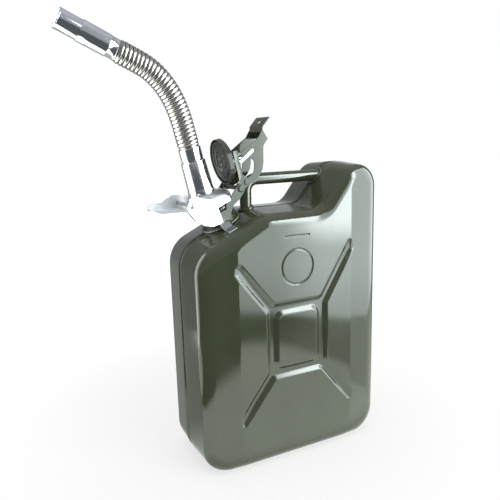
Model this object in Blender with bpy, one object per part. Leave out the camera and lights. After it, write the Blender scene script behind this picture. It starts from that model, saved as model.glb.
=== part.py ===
"""Pressed steel jerry can with a clamped-on flexible pouring spout.

Metres, +Z up. The can stands on Z = 0, its width runs along X and its front faces -Y.
The neck leans to -X, square to the sloping shoulder that it is welded into.
"""

import math

import bmesh
import bpy
from mathutils import Matrix, Vector
from mathutils.geometry import delaunay_2d_cdt

# Can body; its corners' places are shares of its width, and drops are measured down from the hump's top
can_width = 0.280
can_depth = 0.130
hump_height = 0.402
valley_drop = 0.056
shoulder_drop = 0.102
valley_left_share = -0.150
valley_right_share = 0.143
hump_left_share = 0.300
sheet = 0.0009
valley_left = can_width * valley_left_share
valley_right = can_width * valley_right_share
hump_left = can_width * hump_left_share
valley_height = hump_height - valley_drop
shoulder_height = hump_height - shoulder_drop

# Corner radii of the can's outline
base_radius = 0.040
hump_outer_radius = 0.034
hump_inner_radius = 0.030
valley_radius = 0.026
crest_radius = 0.030
shoulder_radius = 0.045

# Section of each pressed half
wall_draft = 0.003
face_radius = 0.018
panel_half_share = 0.307
panel_fall_share = 0.16
seam_depth = 0.0025
seam_half_width = 0.0030
seam_shoulder = 0.0020
bead_height = 0.0012
bead_crown_share = 0.6
third_shares = (0.33, 0.67)
half_shares = (0.5,)
panel_half_width = can_width * panel_half_share

# Pressed figure on each face; its heights are shares of its middle's height, and its reach of the width
figure_height_share = 0.58
plateau_half_width = 0.029
plateau_half_share = 0.201
plateau_radius = 0.007
channel_width = 0.019
channel_depth = 0.0045
channel_bevel = 0.0062
arm_width = 0.018
arm_reach_share = 0.3286
arm_cut_share = 0.955
arm_root_share = 0.236
arm_rise_share = 0.559
arm_tip_radius = 0.0068
panel_corner_radius = 0.005
crease_pitch = 0.0117
ring_radius = 0.0235
ring_place_share = 0.373
bar_length = 0.039
bar_place_share = 0.72
mark_width = 0.0034
mark_depth = 0.0012
bar_floor_share = 0.4
bar_round_share = 0.9
figure_height = shoulder_height * figure_height_share
plateau_half_height = figure_height * plateau_half_share
figure_top = figure_height + plateau_half_height + channel_width
ring_height = figure_top + (valley_height - figure_top) * ring_place_share
bar_height = figure_top + (valley_height - figure_top) * bar_place_share

# Neck and vent
neck_place_share = -0.2786
neck_radius = 0.024
neck_wall = 0.0016
neck_length = 0.026
neck_inside = 0.010
lip_radius = 0.0253
lip_height = 0.0035
weld_leg = 0.0045
weld_profile_shares = ((1.0, 1 / 6), (0.3, 0.5), (0.1, 1.0), (0.0, 1.0))
vent_radius = 0.0050
vent_wall = 0.0008
vent_run_drop = 0.031
vent_reach_share = 0.357
vent_top_drop = 0.018
vent_bend = 0.016
neck_place = can_width * neck_place_share

# Handle, whose rise is measured from the valley
handle_radius = 0.008
handle_wall = 0.0012
handle_rise = 0.038
handle_post_share = -0.1464
handle_bend = 0.016
handle_weld = 0.0025
handle_post = can_width * handle_post_share
handle_height = valley_height + handle_rise

# Hinge bracket; the outline's shares are of the hinge pin's place across and above the shoulder
hinge_reach = 0.036
hinge_height = 0.034
hinge_pin_radius = 0.0030
hinge_head_radius = 0.0048
hinge_head_height = 0.0020
lug_thickness = 0.0022
lug_eye_radius = 0.0062
lug_rise = 0.0062
lug_low_shares = ((-0.31, 0.0), (0.05, 0.0), (0.18, 0.20), (0.27, 0.50))
lug_arm_shares = ((0.50, 0.60), (0.79, 0.67))
lug_back_shares = ((0.64, 1.0), (0.44, 0.84), (0.25, 0.79))
strap_width = 0.0125
strap_left = -0.0110
strap_foot_start = 0.0317
strap_foot_end = 0.0455

# Cap and its seal
cap_radius = 0.0298
cap_wall = 0.0012
cap_height = 0.0078
cap_skirt = 0.0008
cap_boss_share = 0.5
cap_edge = 0.0030
cap_shoulder = 0.0020
cap_open = math.radians(103)
seal_radius = 0.0276
seal_thickness = 0.0036
seal_ridge = 0.0014
seal_ring_share = 0.55

# Cap's bolt, spring washers and yoke
head_chamfer_share = 0.8
cap_rivet_radius = 0.0030
cap_rivet_head = 0.0056
washer_radius = 0.0090
washer_height = 0.0014
stack_height = 0.0170
stack_folds = 3
stack_waist_share = 0.84
yoke_half_width = 0.0209
yoke_thickness = 0.0016
yoke_gap = 0.0028
yoke_rise = 0.0048
yoke_eye_radius = 0.0054
strut_foot = 0.0282
strut_length = 0.0315
strut_width = 0.0040
strut_lean = math.radians(27.2)

# Closing lever; the outline's shares are of its height from the rivets to the tab's foot
lever_pin_back = 0.0046
lever_pin_rise = 0.0118
lever_pin_radius = 0.0018
lever_half_width = 0.0190
lever_thickness = 0.0016
lever_height = 0.0660
lever_outline_shares = ((0.409, 1.000), (0.518, 0.827), (0.414, 0.697), (0.405, 0.123), (-0.023, -0.111),
                        (-0.094, 0.009), (0.206, 0.171), (0.203, 0.455), (-0.076, 0.462), (-0.076, 0.580),
                        (0.311, 0.864), (0.382, 0.985))
lever_round_shares = (0.008, 0.018, 0.12, 0.42, 0.066, 0.066, 0.18, 0.09, 0.07, 0.06, 0.05, 0.008)
tab_knee_shares = (0.400, 1.072)
tab_tip_shares = (0.560, 1.252)
tab_hole_radius = 0.0032

# Spout base and clamp; the cheeks' shares are of the neck's radius, the wings' of the thumb plate's length
gasket_inner = 0.0190
gasket_thickness = 0.0020
dome_base_radius = 0.0279
dome_rim_height = 0.0050
dome_top_radius = 0.0178
dome_top_height = 0.0480
dome_shift = -0.0060
dome_wall = 0.0018
dome_taper_power = 1.3
spout_lean = math.radians(11.6)
spout_tube_length = 0.0600
spout_tube_foot = 0.0168
spout_tube_step = 0.0157
spout_tube_top = 0.0132
spout_flare_share = 0.12
spout_wall = 0.0012
cheek_thickness = 0.0016
cheek_outset = 0.0282
cheek_outline_shares = ((-0.18, 1.20), (-0.25, 0.49), (-0.45, 0.38), (-0.85, 0.44), (-1.30, 0.76),
                        (-1.60, 1.32), (-1.73, 1.92), (-1.42, 2.29), (-0.95, 2.23), (-0.30, 1.77),
                        (0.45, 1.63), (0.66, 1.44), (0.66, 1.20))
cheek_round_shares = (0.05, 0.10, 0.10, 0.2, 0.3, 0.3, 0.25, 0.2, 0.2, 0.5, 0.2, 0.12, 0.05)
thumb_pin_back = -0.0325
thumb_pin_height = 0.0470
thumb_pin_radius = 0.0025
thumb_head_radius = 0.0042
thumb_head_height = 0.0015
thumb_half_width = 0.0272
thumb_thickness = 0.0016
thumb_length = 0.0400
thumb_drop = 0.0064
thumb_root_share = 0.08
front_wing_shares = ((-1.08, -0.173), (-1.06, -0.256), (-0.62, -0.416), (-0.38, -0.576), (0.05, -0.464),
                     (0.15, -0.096), (0.13, 0.128), (-0.13, 0.128), (-0.20, -0.173))
front_round_shares = (0.02, 0.04, 0.2, 0.2, 0.1, 0.15, 0.12, 0.12, 0.06)
rear_wing_shares = ((-1.12, 0.032), (-1.05, -0.216), (-0.10, -0.256), (0.15, -0.112), (0.14, 0.240),
                    (-0.20, 0.256), (-0.62, 0.016))
rear_round_shares = (0.02, 0.06, 0.06, 0.12, 0.12, 0.2, 0.3)

# Hose and nozzle; the hose's end is measured from the foot of the neck
hose_radius = 0.0140
hose_root_radius = 0.0128
hose_bore = 0.0108
hose_ribs = 30
hose_reach = 0.1230
hose_rise = 0.2129
hose_pull_share = 0.36
ferrule_wall = 0.0008
ferrule_length = 0.0160
nozzle_rise = math.radians(26.5)
nozzle_radius = 0.0119
nozzle_length = 0.0460
tip_length = 0.0340
tip_radius = 0.0135
tip_lap = 0.0080
tip_taper = 0.0040

# Fits, cuts and facets
clearance = 0.0003
overrun = 0.0040
arc_room_share = 0.98
arc_steps = 5
round_steps = 32
tube_steps = 24
small_steps = 16

slope = math.atan2(valley_height - shoulder_height, can_width / 2 + valley_left)
neck_base = Vector((neck_place, 0, shoulder_height + (neck_place + can_width / 2) * math.tan(slope)))


def clear_scene():
    for item in list(bpy.data.objects):
        bpy.data.objects.remove(item, do_unlink=True)


def material(name, colour, roughness, metallic=0.0):
    made = bpy.data.materials.new(name)
    made.use_nodes = True
    shader = made.node_tree.nodes["Principled BSDF"]
    shader.inputs["Base Color"].default_value = (*colour, 1.0)
    shader.inputs["Roughness"].default_value = roughness
    shader.inputs["Metallic"].default_value = metallic
    made.diffuse_color = (*colour, 1.0)
    return made


def olive_enamel(name):
    return material(name, (0.045, 0.055, 0.032), 0.28)


def zinc(name):
    return material(name, (0.78, 0.79, 0.80), 0.32, 1.0)


def bright_steel(name):
    return material(name, (0.66, 0.65, 0.63), 0.22, 1.0)


def rubber(name):
    return material(name, (0.02, 0.02, 0.02), 0.65)


def empty(name, place, lean=0.0, parent=None):
    """An empty whose local X-Z plane is turned by lean about Y, clockwise as seen from the front."""
    made = bpy.data.objects.new(name, None)
    bpy.context.scene.collection.objects.link(made)
    made.empty_display_size = overrun
    made.location = place
    made.rotation_euler = (0, lean, 0)
    made.parent = parent
    return made


def place_mesh(name, bm, paint, parent=None):
    bmesh.ops.recalc_face_normals(bm, faces=bm.faces)
    mesh = bpy.data.meshes.new(name)
    bm.to_mesh(mesh)
    bm.free()
    mesh.shade_smooth()
    mesh.set_sharp_from_angle(angle=math.radians(30))
    made = bpy.data.objects.new(name, mesh)
    bpy.context.scene.collection.objects.link(made)
    made.parent = parent
    if paint is not None:
        mesh.materials.append(paint)
    return made


def hide_cutter(cutter):
    cutter.hide_render = True
    cutter.display_type = "WIRE"
    return cutter


def combine(target, other, operation):
    hide_cutter(other)
    step = target.modifiers.new(operation.lower(), "BOOLEAN")
    step.operation = operation
    step.object = other
    step.solver = "EXACT"
    return target


def cut(target, *cutters):
    for cutter in cutters:
        combine(target, cutter, "DIFFERENCE")
    return target


def fuse(target, *others):
    for other in others:
        combine(target, other, "UNION")
    return target


# Outlines

def edge_line(start, end, inset):
    """Unit inward normal of a counter-clockwise edge, and its distance from the origin once moved in."""
    along = (end - start).normalized()
    normal = Vector((-along.y, along.x))
    return normal, normal.dot(start) + inset


def offset_corners(corners, insets):
    """Corners of a polygon whose edges are each moved in by their own inset."""
    moved = []
    for i, corner in enumerate(corners):
        normal_a, reach_a = edge_line(corners[i - 1], corner, insets[i - 1])
        normal_b, reach_b = edge_line(corner, corners[(i + 1) % len(corners)], insets[i])
        system = Matrix((normal_a, normal_b))
        moved.append(system.inverted() @ Vector((reach_a, reach_b)))
    return moved


def corner_arc(before, corner, after, radius, steps):
    """Points of the arc that rounds a corner, from the incoming edge to the outgoing one."""
    back = (before - corner).normalized()
    ahead = (after - corner).normalized()
    half = back.angle(ahead) / 2
    centre = corner + (back + ahead).normalized() * (radius / math.sin(half))
    first = corner + back * (radius / math.tan(half)) - centre
    last = corner + ahead * (radius / math.tan(half)) - centre
    turn = math.atan2(first.x * last.y - first.y * last.x, first.dot(last))
    return [centre + Matrix.Rotation(turn * k / steps, 2) @ first for k in range(steps + 1)]


def fitted_radii(corners, radii):
    """Corner radii, made smaller where two neighbouring arcs would overrun the edge between them."""
    count = len(corners)
    reaches = []
    for i, corner in enumerate(corners):
        back = corners[i - 1] - corner
        ahead = corners[(i + 1) % count] - corner
        reaches.append(radii[i] / math.tan(back.angle(ahead) / 2))
    fits = []
    for i, corner in enumerate(corners):
        length = (corners[(i + 1) % count] - corner).length
        fits.append(min(1.0, arc_room_share * length / (reaches[i] + reaches[(i + 1) % count])))
    return [radius * min(fits[i - 1], fits[i]) for i, radius in enumerate(radii)]


def rounded(corners, radii, steps, stops=None):
    """A closed outline with rounded corners; stops gives shares of the straight run after a corner."""
    stops = stops or {}
    count = len(corners)
    radii = fitted_radii(corners, radii)
    arcs = []
    for i in range(count):
        arcs.append(corner_arc(corners[i - 1], corners[i], corners[(i + 1) % count], radii[i], steps))
    outline = []
    for i, arc in enumerate(arcs):
        following = arcs[(i + 1) % count][0]
        outline.extend(arc)
        for share in stops.get(i, ()):
            outline.append(arc[-1].lerp(following, share))
    return outline


def vectors(points):
    return [Vector(point) for point in points]


# Solids from outlines

def add_loop(bm, points):
    return [bm.verts.new(point) for point in points]


def bridge(bm, first, second):
    count = len(first)
    for i in range(count):
        j = (i + 1) % count
        bm.faces.new((first[i], first[j], second[j], second[i]))


def plate(name, outline, low, high, paint=None, parent=None):
    """An outline in the local X-Z plane, given thickness from low to high along Y."""
    bm = bmesh.new()
    near = add_loop(bm, [(point[0], low, point[1]) for point in outline])
    far = add_loop(bm, [(point[0], high, point[1]) for point in outline])
    bridge(bm, near, far)
    bm.faces.new(near)
    bm.faces.new(reversed(far))
    return place_mesh(name, bm, paint, parent)


def turned(name, profile, steps, paint=None, parent=None, place=(0, 0, 0), axis="Z"):
    """A closed profile of radius and height turned a full circle about the local axis."""
    bm = bmesh.new()
    rings = []
    for radius, height in profile:
        ring = []
        for k in range(steps):
            angle = math.tau * k / steps
            ring.append((radius * math.cos(angle), radius * math.sin(angle), height))
        rings.append(ring)
    loops = []
    for ring, (radius, height) in zip(rings, profile):
        loops.append([bm.verts.new((0, 0, height))] if radius == 0 else add_loop(bm, ring))
    for first, second in zip(loops, loops[1:] + loops[:1]):
        join_rings(bm, first, second)
    if axis == "Y":
        bmesh.ops.rotate(bm, verts=bm.verts, matrix=Matrix.Rotation(-math.pi / 2, 3, "X"))
    if axis == "X":
        bmesh.ops.rotate(bm, verts=bm.verts, matrix=Matrix.Rotation(math.pi / 2, 3, "Y"))
    made = place_mesh(name, bm, paint, parent)
    made.location = place
    return made


def join_rings(bm, first, second):
    if len(first) == 1 and len(second) == 1:
        return
    if len(first) == 1 or len(second) == 1:
        point = first[0] if len(first) == 1 else second[0]
        ring = second if len(first) == 1 else first
        for i in range(len(ring)):
            bm.faces.new((ring[i], ring[(i + 1) % len(ring)], point))
        return
    bridge(bm, first, second)


def rod(name, radius, low, high, axis="Z", place=(0, 0, 0), parent=None, paint=None, steps=small_steps):
    profile = [(0, low), (radius, low), (radius, high), (0, high)]
    return turned(name, profile, steps, paint, parent, place, axis)


def tube(name, route, radius, paint=None, parent=None, facets=2, radii=None):
    """A closed round bar along a route of points, optionally with its own radius at each point."""
    curve = bpy.data.curves.new(name, "CURVE")
    curve.dimensions = "3D"
    curve.bevel_depth = radius
    curve.bevel_resolution = facets
    curve.use_fill_caps = True
    spline = curve.splines.new("POLY")
    spline.points.add(len(route) - 1)
    for i, point in enumerate(route):
        spline.points[i].co = (*point, 1.0)
        spline.points[i].radius = radii[i] / radius if radii else 1.0
    made = bpy.data.objects.new(name, curve)
    bpy.context.scene.collection.objects.link(made)
    bpy.context.view_layer.update()
    bm = bmesh.new()
    bm.from_mesh(made.evaluated_get(bpy.context.evaluated_depsgraph_get()).to_mesh())
    bmesh.ops.remove_doubles(bm, verts=bm.verts, dist=clearance / 100)
    bpy.data.objects.remove(made, do_unlink=True)
    bpy.data.curves.remove(curve)
    return place_mesh(name, bm, paint, parent)


# Can body

def can_corners():
    """Corners of the can's outline at the seam, counter-clockwise from the lower left."""
    half = can_width / 2
    return vectors([(-half, 0), (half, 0), (half, hump_height), (hump_left, hump_height),
                    (valley_right, valley_height), (valley_left, valley_height), (-half, shoulder_height)])


def can_outline(wall_inset, face_inset):
    """The can's outline moved in; the base keeps its height where the walls draft inwards."""
    insets = [face_inset if edge == 0 else wall_inset + face_inset for edge in range(7)]
    inset = wall_inset + face_inset
    radii = [base_radius - inset, base_radius - inset, hump_outer_radius - inset, hump_inner_radius - inset,
             valley_radius + inset, crest_radius - inset, shoulder_radius - inset]
    side_share = (panel_half_width + can_width / 2 - base_radius) / (can_width - 2 * base_radius)
    stops = {0: (1 - side_share, side_share), 1: third_shares, 4: half_shares, 5: half_shares,
             6: third_shares}
    return rounded(offset_corners(can_corners(), insets), radii, arc_steps, stops)


def panel_drop(x):
    """How far the face falls back from its flat middle, towards the sides."""
    return panel_fall_share * max(0.0, abs(x) - panel_half_width)


def wall_depth(y):
    """Inset of the drafted wall at a distance y from the seam plane."""
    start = seam_half_width + seam_shoulder
    end = can_depth / 2 - face_radius
    return wall_draft * min(1.0, max(0.0, (y - start) / (end - start)))


def shell_sections():
    """Wall inset, face inset, distance from the seam plane and share of the panel's fall, seam to face."""
    wall_end = can_depth / 2 - face_radius
    sections = [(0.0, seam_depth, clearance / 2, 0.0), (0.0, seam_depth, seam_half_width, 0.0),
                (0.0, 0.0, seam_half_width + seam_shoulder, 0.0)]
    for k in range(arc_steps + 1):
        turn = math.pi / 2 * k / arc_steps
        sections.append((wall_draft, face_radius * (1 - math.cos(turn)),
                         wall_end + face_radius * math.sin(turn), math.sin(turn)))
    return sections


def figure_corners():
    """The pressed cross about its centre: four arms round a frame, counter-clockwise from the right."""
    side = plateau_half_width + channel_width
    top = plateau_half_height + channel_width
    low_root = Vector((side, figure_height * arm_root_share))
    low_tip = Vector((can_width * arm_reach_share, figure_height * arm_rise_share))
    along = (low_tip - low_root).normalized()
    across = Vector((-along.y, along.x))
    gap = arm_width - (top - low_root.y) * across.y
    high_root = Vector((side + gap / across.x, top))
    high_tip = high_root + along * ((low_tip.x * arm_cut_share - high_root.x) / along.x)
    right = [low_root, low_tip, high_tip, high_root]
    left = [Vector((-point.x, point.y)) for point in reversed(right)]
    upper = right + left
    return upper + [Vector((-point.x, -point.y)) for point in upper]


def figure_radii(inset):
    """The tips are rounded less inside the bevel and the roots more."""
    tip = max(arm_tip_radius - inset, clearance)
    root = panel_corner_radius + inset
    return [root, tip, tip, root] * 4


def moved_outline(outline, x, z):
    return [point + Vector((x, z)) for point in outline]


def circle(radius, steps, x=0.0, z=0.0):
    return [Vector((x + radius * math.cos(math.tau * k / steps), z + radius * math.sin(math.tau * k / steps)))
            for k in range(steps)]


def box_corners(half_width, half_height):
    return vectors([(-half_width, -half_height), (half_width, -half_height),
                    (half_width, half_height), (-half_width, half_height)])


def box_between(left, low, right, high):
    return vectors([(left, low), (right, low), (right, high), (left, high)])


def pressed_loops():
    """Closed loops of the face's relief, each with its depth below the face."""
    cross = figure_corners()
    loops = []
    for inset, depth in ((0.0, 0.0), (channel_bevel, channel_depth)):
        arms = rounded(offset_corners(cross, [inset] * len(cross)), figure_radii(inset), 4)
        loops.append((moved_outline(arms, 0.0, figure_height), depth))
        corners = box_corners(plateau_half_width + inset, plateau_half_height + inset)
        plateau = rounded(corners, [plateau_radius + inset] * 4, 4)
        loops.append((moved_outline(plateau, 0.0, figure_height), depth))
    for radius, depth in ((mark_width / 2, 0.0), (0.0, mark_depth), (-mark_width / 2, 0.0)):
        loops.append((circle(ring_radius + radius, round_steps, 0.0, ring_height), depth))
    for shrink, depth in ((0.0, 0.0), (mark_width * bar_floor_share, mark_depth)):
        half = mark_width / 2 - shrink
        bar = rounded(box_corners(bar_length / 2 - shrink, half), [half * bar_round_share] * 4, 2)
        loops.append((moved_outline(bar, 0.0, bar_height), depth))
    return loops


def crease_points(rim):
    """Points up both folds at the edges of the flat middle panel, clear of the pressed arms."""
    tips = [point.y for point in figure_corners()[1:3]]
    low = min(point.y for point in rim) + crease_pitch
    points = []
    for side in (-panel_half_width, panel_half_width):
        high = valley_height - face_radius - wall_draft
        if side < 0:
            high = neck_base.z + (side - neck_place) * math.tan(slope) - face_radius - wall_draft
        height = low
        while height < high - crease_pitch:
            from_middle = abs(height - figure_height)
            if from_middle < min(tips) - crease_pitch or from_middle > max(tips) + crease_pitch / 2:
                points.append(Vector((side, height)))
            height += crease_pitch
    return points


def with_folds(outline):
    """An outline with a point added wherever it crosses a fold."""
    crossed = []
    for start, end in zip(outline, outline[1:] + outline[:1]):
        crossed.append(start)
        for fold in (-panel_half_width, panel_half_width):
            if (start.x - fold) * (end.x - fold) < 0:
                crossed.append(start.lerp(end, (fold - start.x) / (end.x - start.x)))
    return crossed


def fold_edges(points):
    """Edges that join neighbouring points up each fold."""
    edges = []
    for fold in (-panel_half_width, panel_half_width):
        on_fold = [i for i, point in enumerate(points) if abs(point.x - fold) < clearance / 100]
        on_fold.sort(key=lambda i: points[i].y)
        edges.extend(zip(on_fold, on_fold[1:]))
    return edges


def fill_face(bm, rim_points, rim):
    """Fill the face inside its rim with the pressed relief, as one constrained triangulation."""
    points = list(rim_points)
    depths = [0.0] * len(points)
    edges = [(i, (i + 1) % len(points)) for i in range(len(points))]
    for outline, depth in pressed_loops():
        loop = with_folds(outline)
        start = len(points)
        points.extend(loop)
        depths.extend([depth] * len(loop))
        edges.extend((start + i, start + (i + 1) % len(loop)) for i in range(len(loop)))
    extra = crease_points(rim_points)
    points.extend(extra)
    depths.extend([0.0] * len(extra))
    edges.extend(fold_edges(points))
    coords, _, faces, sources, _, _ = delaunay_2d_cdt(points, edges, [], 1, clearance / 100)
    verts = []
    for coord, source in zip(coords, sources):
        if source[0] < len(rim):
            verts.append(rim[source[0]])
            continue
        depth = can_depth / 2 - depths[source[0]] - panel_drop(coord.x)
        verts.append(bm.verts.new((coord.x, -depth, coord.y)))
    for face in faces:
        bm.faces.new([verts[i] for i in face])


def shell_half(name, side):
    """One deep-drawn half: a seam edge, a drafted wall, a rounded rim and the pressed face."""
    bm = bmesh.new()
    last = None
    for wall_inset, face_inset, y, fall in shell_sections():
        outline = can_outline(wall_inset, face_inset)
        ring = add_loop(bm, [(p.x, panel_drop(p.x) * fall - y, p.y) for p in outline])
        if last:
            bridge(bm, last, ring)
        last = ring
    fill_face(bm, outline, last)
    if side > 0:
        bmesh.ops.scale(bm, verts=bm.verts, vec=(1, -1, 1))
    made = place_mesh(name, bm, olive_enamel(name))
    outward_shell(made)
    wall = made.modifiers.new("wall", "SOLIDIFY")
    wall.thickness = sheet
    wall.offset = -1.0
    wall.use_even_offset = True
    return made


def outward_shell(made):
    """Turn an open sheet's faces to look away from the middle of the can."""
    bm = bmesh.new()
    bm.from_mesh(made.data)
    middle = Vector((0, 0, figure_height))
    outward = sum((face.calc_center_median() - middle).dot(face.normal) * face.calc_area()
                  for face in bm.faces)
    if outward < 0:
        bmesh.ops.reverse_faces(bm, faces=bm.faces)
    bm.to_mesh(made.data)
    bm.free()


def can_block(name, gap):
    """A solid as wide as the can's walls plus a gap, to trim what is welded onto them."""
    bm = bmesh.new()
    reach = can_depth / 2 - face_radius
    start = seam_half_width + seam_shoulder
    last = None
    first = None
    for y in (-reach, -start, start, reach):
        outline = can_outline(wall_depth(abs(y)) - gap, 0.0)
        ring = add_loop(bm, [(p.x, y, p.y) for p in outline])
        if last:
            bridge(bm, last, ring)
        first = first or ring
        last = ring
    bm.faces.new(first)
    bm.faces.new(reversed(last))
    return hide_cutter(place_mesh(name, bm, None))


def seam_ring(name, paint):
    """A low bead round the whole groove between the halves."""
    bm = bmesh.new()
    half = seam_half_width - clearance * 2
    crown = half * bead_crown_share
    rings = []
    for inset, y in ((seam_depth - clearance, -half), (seam_depth - bead_height, -crown),
                     (seam_depth - bead_height, crown), (seam_depth - clearance, half)):
        rings.append(add_loop(bm, [(p.x, y, p.y) for p in can_outline(0.0, inset)]))
    for first, second in zip(rings, rings[1:] + rings[:1]):
        bridge(bm, first, second)
    return place_mesh(name, bm, paint)


def build_seam_welds(frame):
    """The weld in the groove, left out at the neck, at the handle's ends and between neck and handle."""
    gap = clearance * 2
    at_neck = rod("bead_neck_cut", neck_radius + weld_leg + clearance + gap, -neck_length, neck_length,
                  parent=frame, steps=round_steps)
    beside = plate("bead_beside_cut", box_between(neck_base.x, shoulder_height, handle_post, handle_height),
                   -can_depth / 2, can_depth / 2)
    at_post = rod("bead_post_cut", handle_radius + handle_weld + gap, -neck_length, neck_length,
                  place=(handle_post, 0, valley_height))
    at_hump = rod("bead_hump_cut", handle_radius + handle_weld + gap, -can_width / 4, handle_radius,
                  axis="X", place=(hump_left, 0, handle_height))
    valley = plate("bead_valley_cut", box_between(handle_post, shoulder_height, hump_left, handle_height),
                   -can_depth / 2, can_depth / 2)
    outer = seam_ring("seam_weld", olive_enamel("seam_weld"))
    cut(outer, at_neck, beside, at_post, at_hump, valley)
    inner = seam_ring("seam_weld_valley", olive_enamel("seam_weld_valley"))
    combine(inner, valley, "INTERSECT")
    cut(inner, at_post, at_hump)


# Neck, vent and handle

def build_neck(frame):
    bore = neck_radius - neck_wall
    lip = (lip_radius - neck_radius) / 2
    profile = [(bore, -neck_inside), (neck_radius, -neck_inside),
               (neck_radius, neck_length - lip_height - lip), (lip_radius, neck_length - lip_height),
               (lip_radius, neck_length - lip),
               (lip_radius - lip, neck_length), (bore + lip, neck_length), (bore, neck_length - lip)]
    return turned("neck", profile, round_steps, olive_enamel("neck"), frame)


def build_neck_weld(frame, block):
    inner = neck_radius + clearance
    low = -neck_inside / 2
    profile = [(inner, low), (inner + weld_leg, low)]
    profile += [(inner + weld_leg * across, weld_leg * up) for across, up in weld_profile_shares]
    return cut(turned("neck_weld", profile, round_steps, olive_enamel("neck_weld"), frame), block)


def bend(before, corner, after, radius, steps):
    return [Vector((p.x, 0, p.y)) for p in corner_arc(before, corner, after, radius, steps)]


def flat_route(corners, radii, steps):
    """A route in the X-Z plane through corners, each but the ends rounded."""
    points = vectors(corners)
    route = [Vector((points[0].x, 0, points[0].y))]
    for i, radius in enumerate(radii):
        route.extend(bend(points[i], points[i + 1], points[i + 2], radius, steps))
    route.append(Vector((points[-1].x, 0, points[-1].y)))
    return route


def neck_point(across, up):
    """World X and Z of a point given across and along the neck."""
    return (neck_base.x + across * math.cos(slope) - up * math.sin(slope),
            neck_base.z + across * math.sin(slope) + up * math.cos(slope))


def build_vent():
    """The breather from the mouth to the air pocket in the hump."""
    seat = neck_radius - neck_wall - vent_radius - clearance
    run = valley_height - vent_run_drop
    mouth = neck_point(seat, neck_length - lip_height)
    turn = neck_point(seat, -(neck_base.z + seat * math.sin(slope) - run) / math.cos(slope))
    corners = [mouth, turn, (hump_left, run), (can_width * vent_reach_share, hump_height - vent_top_drop)]
    made = tube("vent_tube", flat_route(corners, [vent_bend, vent_bend], 4), vent_radius,
                olive_enamel("vent_tube"), facets=1)
    first, last = Vector(corners[0]), Vector(corners[-1])
    longer = [tuple(first + (first - Vector(corners[1])).normalized() * overrun), corners[1], corners[2],
              tuple(last + (last - Vector(corners[2])).normalized() * overrun)]
    bore = tube("vent_bore", flat_route(longer, [vent_bend, vent_bend], 4), vent_radius - vent_wall, facets=1)
    return cut(made, bore)


def handle_corners(extra):
    base = valley_height - seam_depth - overrun - extra
    end = hump_left + handle_radius + extra
    return [(handle_post, base), (handle_post, handle_height), (end, handle_height)]


def build_handle(block):
    """A bent tube from the crest to the flank of the hump, open at both welded ends."""
    route = flat_route(handle_corners(0.0), [handle_bend], 8)
    made = tube("handle", route, handle_radius, olive_enamel("handle"), facets=3)
    route = flat_route(handle_corners(overrun), [handle_bend], 8)
    bore = tube("handle_bore", route, handle_radius - handle_wall, facets=3)
    return cut(made, block, bore)


def build_handle_welds(block):
    """Weld rings where the tube meets the crest and the hump, trimmed to the body's skin."""
    inner = handle_radius + clearance
    outer = handle_radius + handle_weld
    crown = can_block("weld_crown", handle_weld)
    reach = handle_radius * 3
    profile = [(inner, -reach), (outer, -reach), (outer, reach), (inner, reach)]
    hump_x = hump_left - (hump_height - handle_height) * (hump_left - valley_right) / (hump_height - valley_height)
    for name, x, z, axis in (("handle_weld_front", handle_post, valley_height, "Z"),
                             ("handle_weld_back", hump_x, handle_height, "X")):
        ring = turned(name, profile, small_steps + 4, olive_enamel(name), place=(x, 0, z), axis=axis)
        combine(ring, crown, "INTERSECT")
        cut(ring, block)


# Cap hinge

def eye(centre, radius, start, end, steps):
    """Arc about a pin, from one angle to another."""
    return [centre + Vector((math.cos(a), math.sin(a))) * radius
            for a in (start + (end - start) * k / steps for k in range(steps + 1))]


def shared(table, width, height=None):
    """A table of shares as points, times a width and a height."""
    height = width if height is None else height
    return vectors([(across * width, up * height) for across, up in table])


def build_lugs(frame):
    """Two bent brackets on the shoulder beside the neck, that carry the hinge pin."""
    inner = neck_radius + clearance
    pin = Vector((hinge_reach, hinge_height))
    under = neck_length - lip_height - lip_radius + neck_radius - clearance * 2
    outline = shared(lug_low_shares, hinge_reach, under - lug_rise)
    outline = [point + Vector((0, lug_rise)) for point in outline]
    outline += shared(lug_arm_shares, hinge_reach, hinge_height)
    outline += eye(pin, lug_eye_radius, -math.radians(60), math.radians(135), 6)
    outline += shared(lug_back_shares, hinge_reach, hinge_height)
    outline += vectors([(hinge_reach / 6, under), (outline[0].x, under)])
    for name, side in (("hinge_lug_front", -1), ("hinge_lug_rear", 1)):
        low, high = sorted((side * inner, side * (inner + lug_thickness)))
        made = plate(name, outline, low, high, olive_enamel(name), frame)
        fuse(made, build_strap(name, side, frame, inner))
        hole = rod(name + "_hole", hinge_pin_radius + clearance, -can_depth / 2, can_depth / 2, axis="Y",
                   place=(pin.x, 0, pin.y), parent=frame)
        cut(made, hole)


def build_strap(name, side, frame, inner):
    """The bracket's foot: bent out over the neck's weld and along the drafted shoulder."""
    skin = lug_thickness / 8
    near, far = inner + skin, inner + lug_thickness - skin
    thick = far - near
    start, end = strap_foot_start, strap_foot_end
    low = [clearance - wall_depth(y) for y in (start, end)]
    section = [(near, lug_rise * 2), (near, lug_rise), (start - thick, low[0] + thick), (start, low[0]),
               (end, low[1]), (end, low[1] + thick), (start + thick, low[0] + thick),
               (far, lug_rise + thick), (far, lug_rise * 2)]
    bm = bmesh.new()
    left = add_loop(bm, [(strap_left, side * y, z) for y, z in section])
    right = add_loop(bm, [(strap_left + strap_width, side * y, z) for y, z in section])
    bridge(bm, left, right)
    bm.faces.new(left)
    bm.faces.new(reversed(right))
    return place_mesh(name + "_strap", bm, None, frame)


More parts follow.
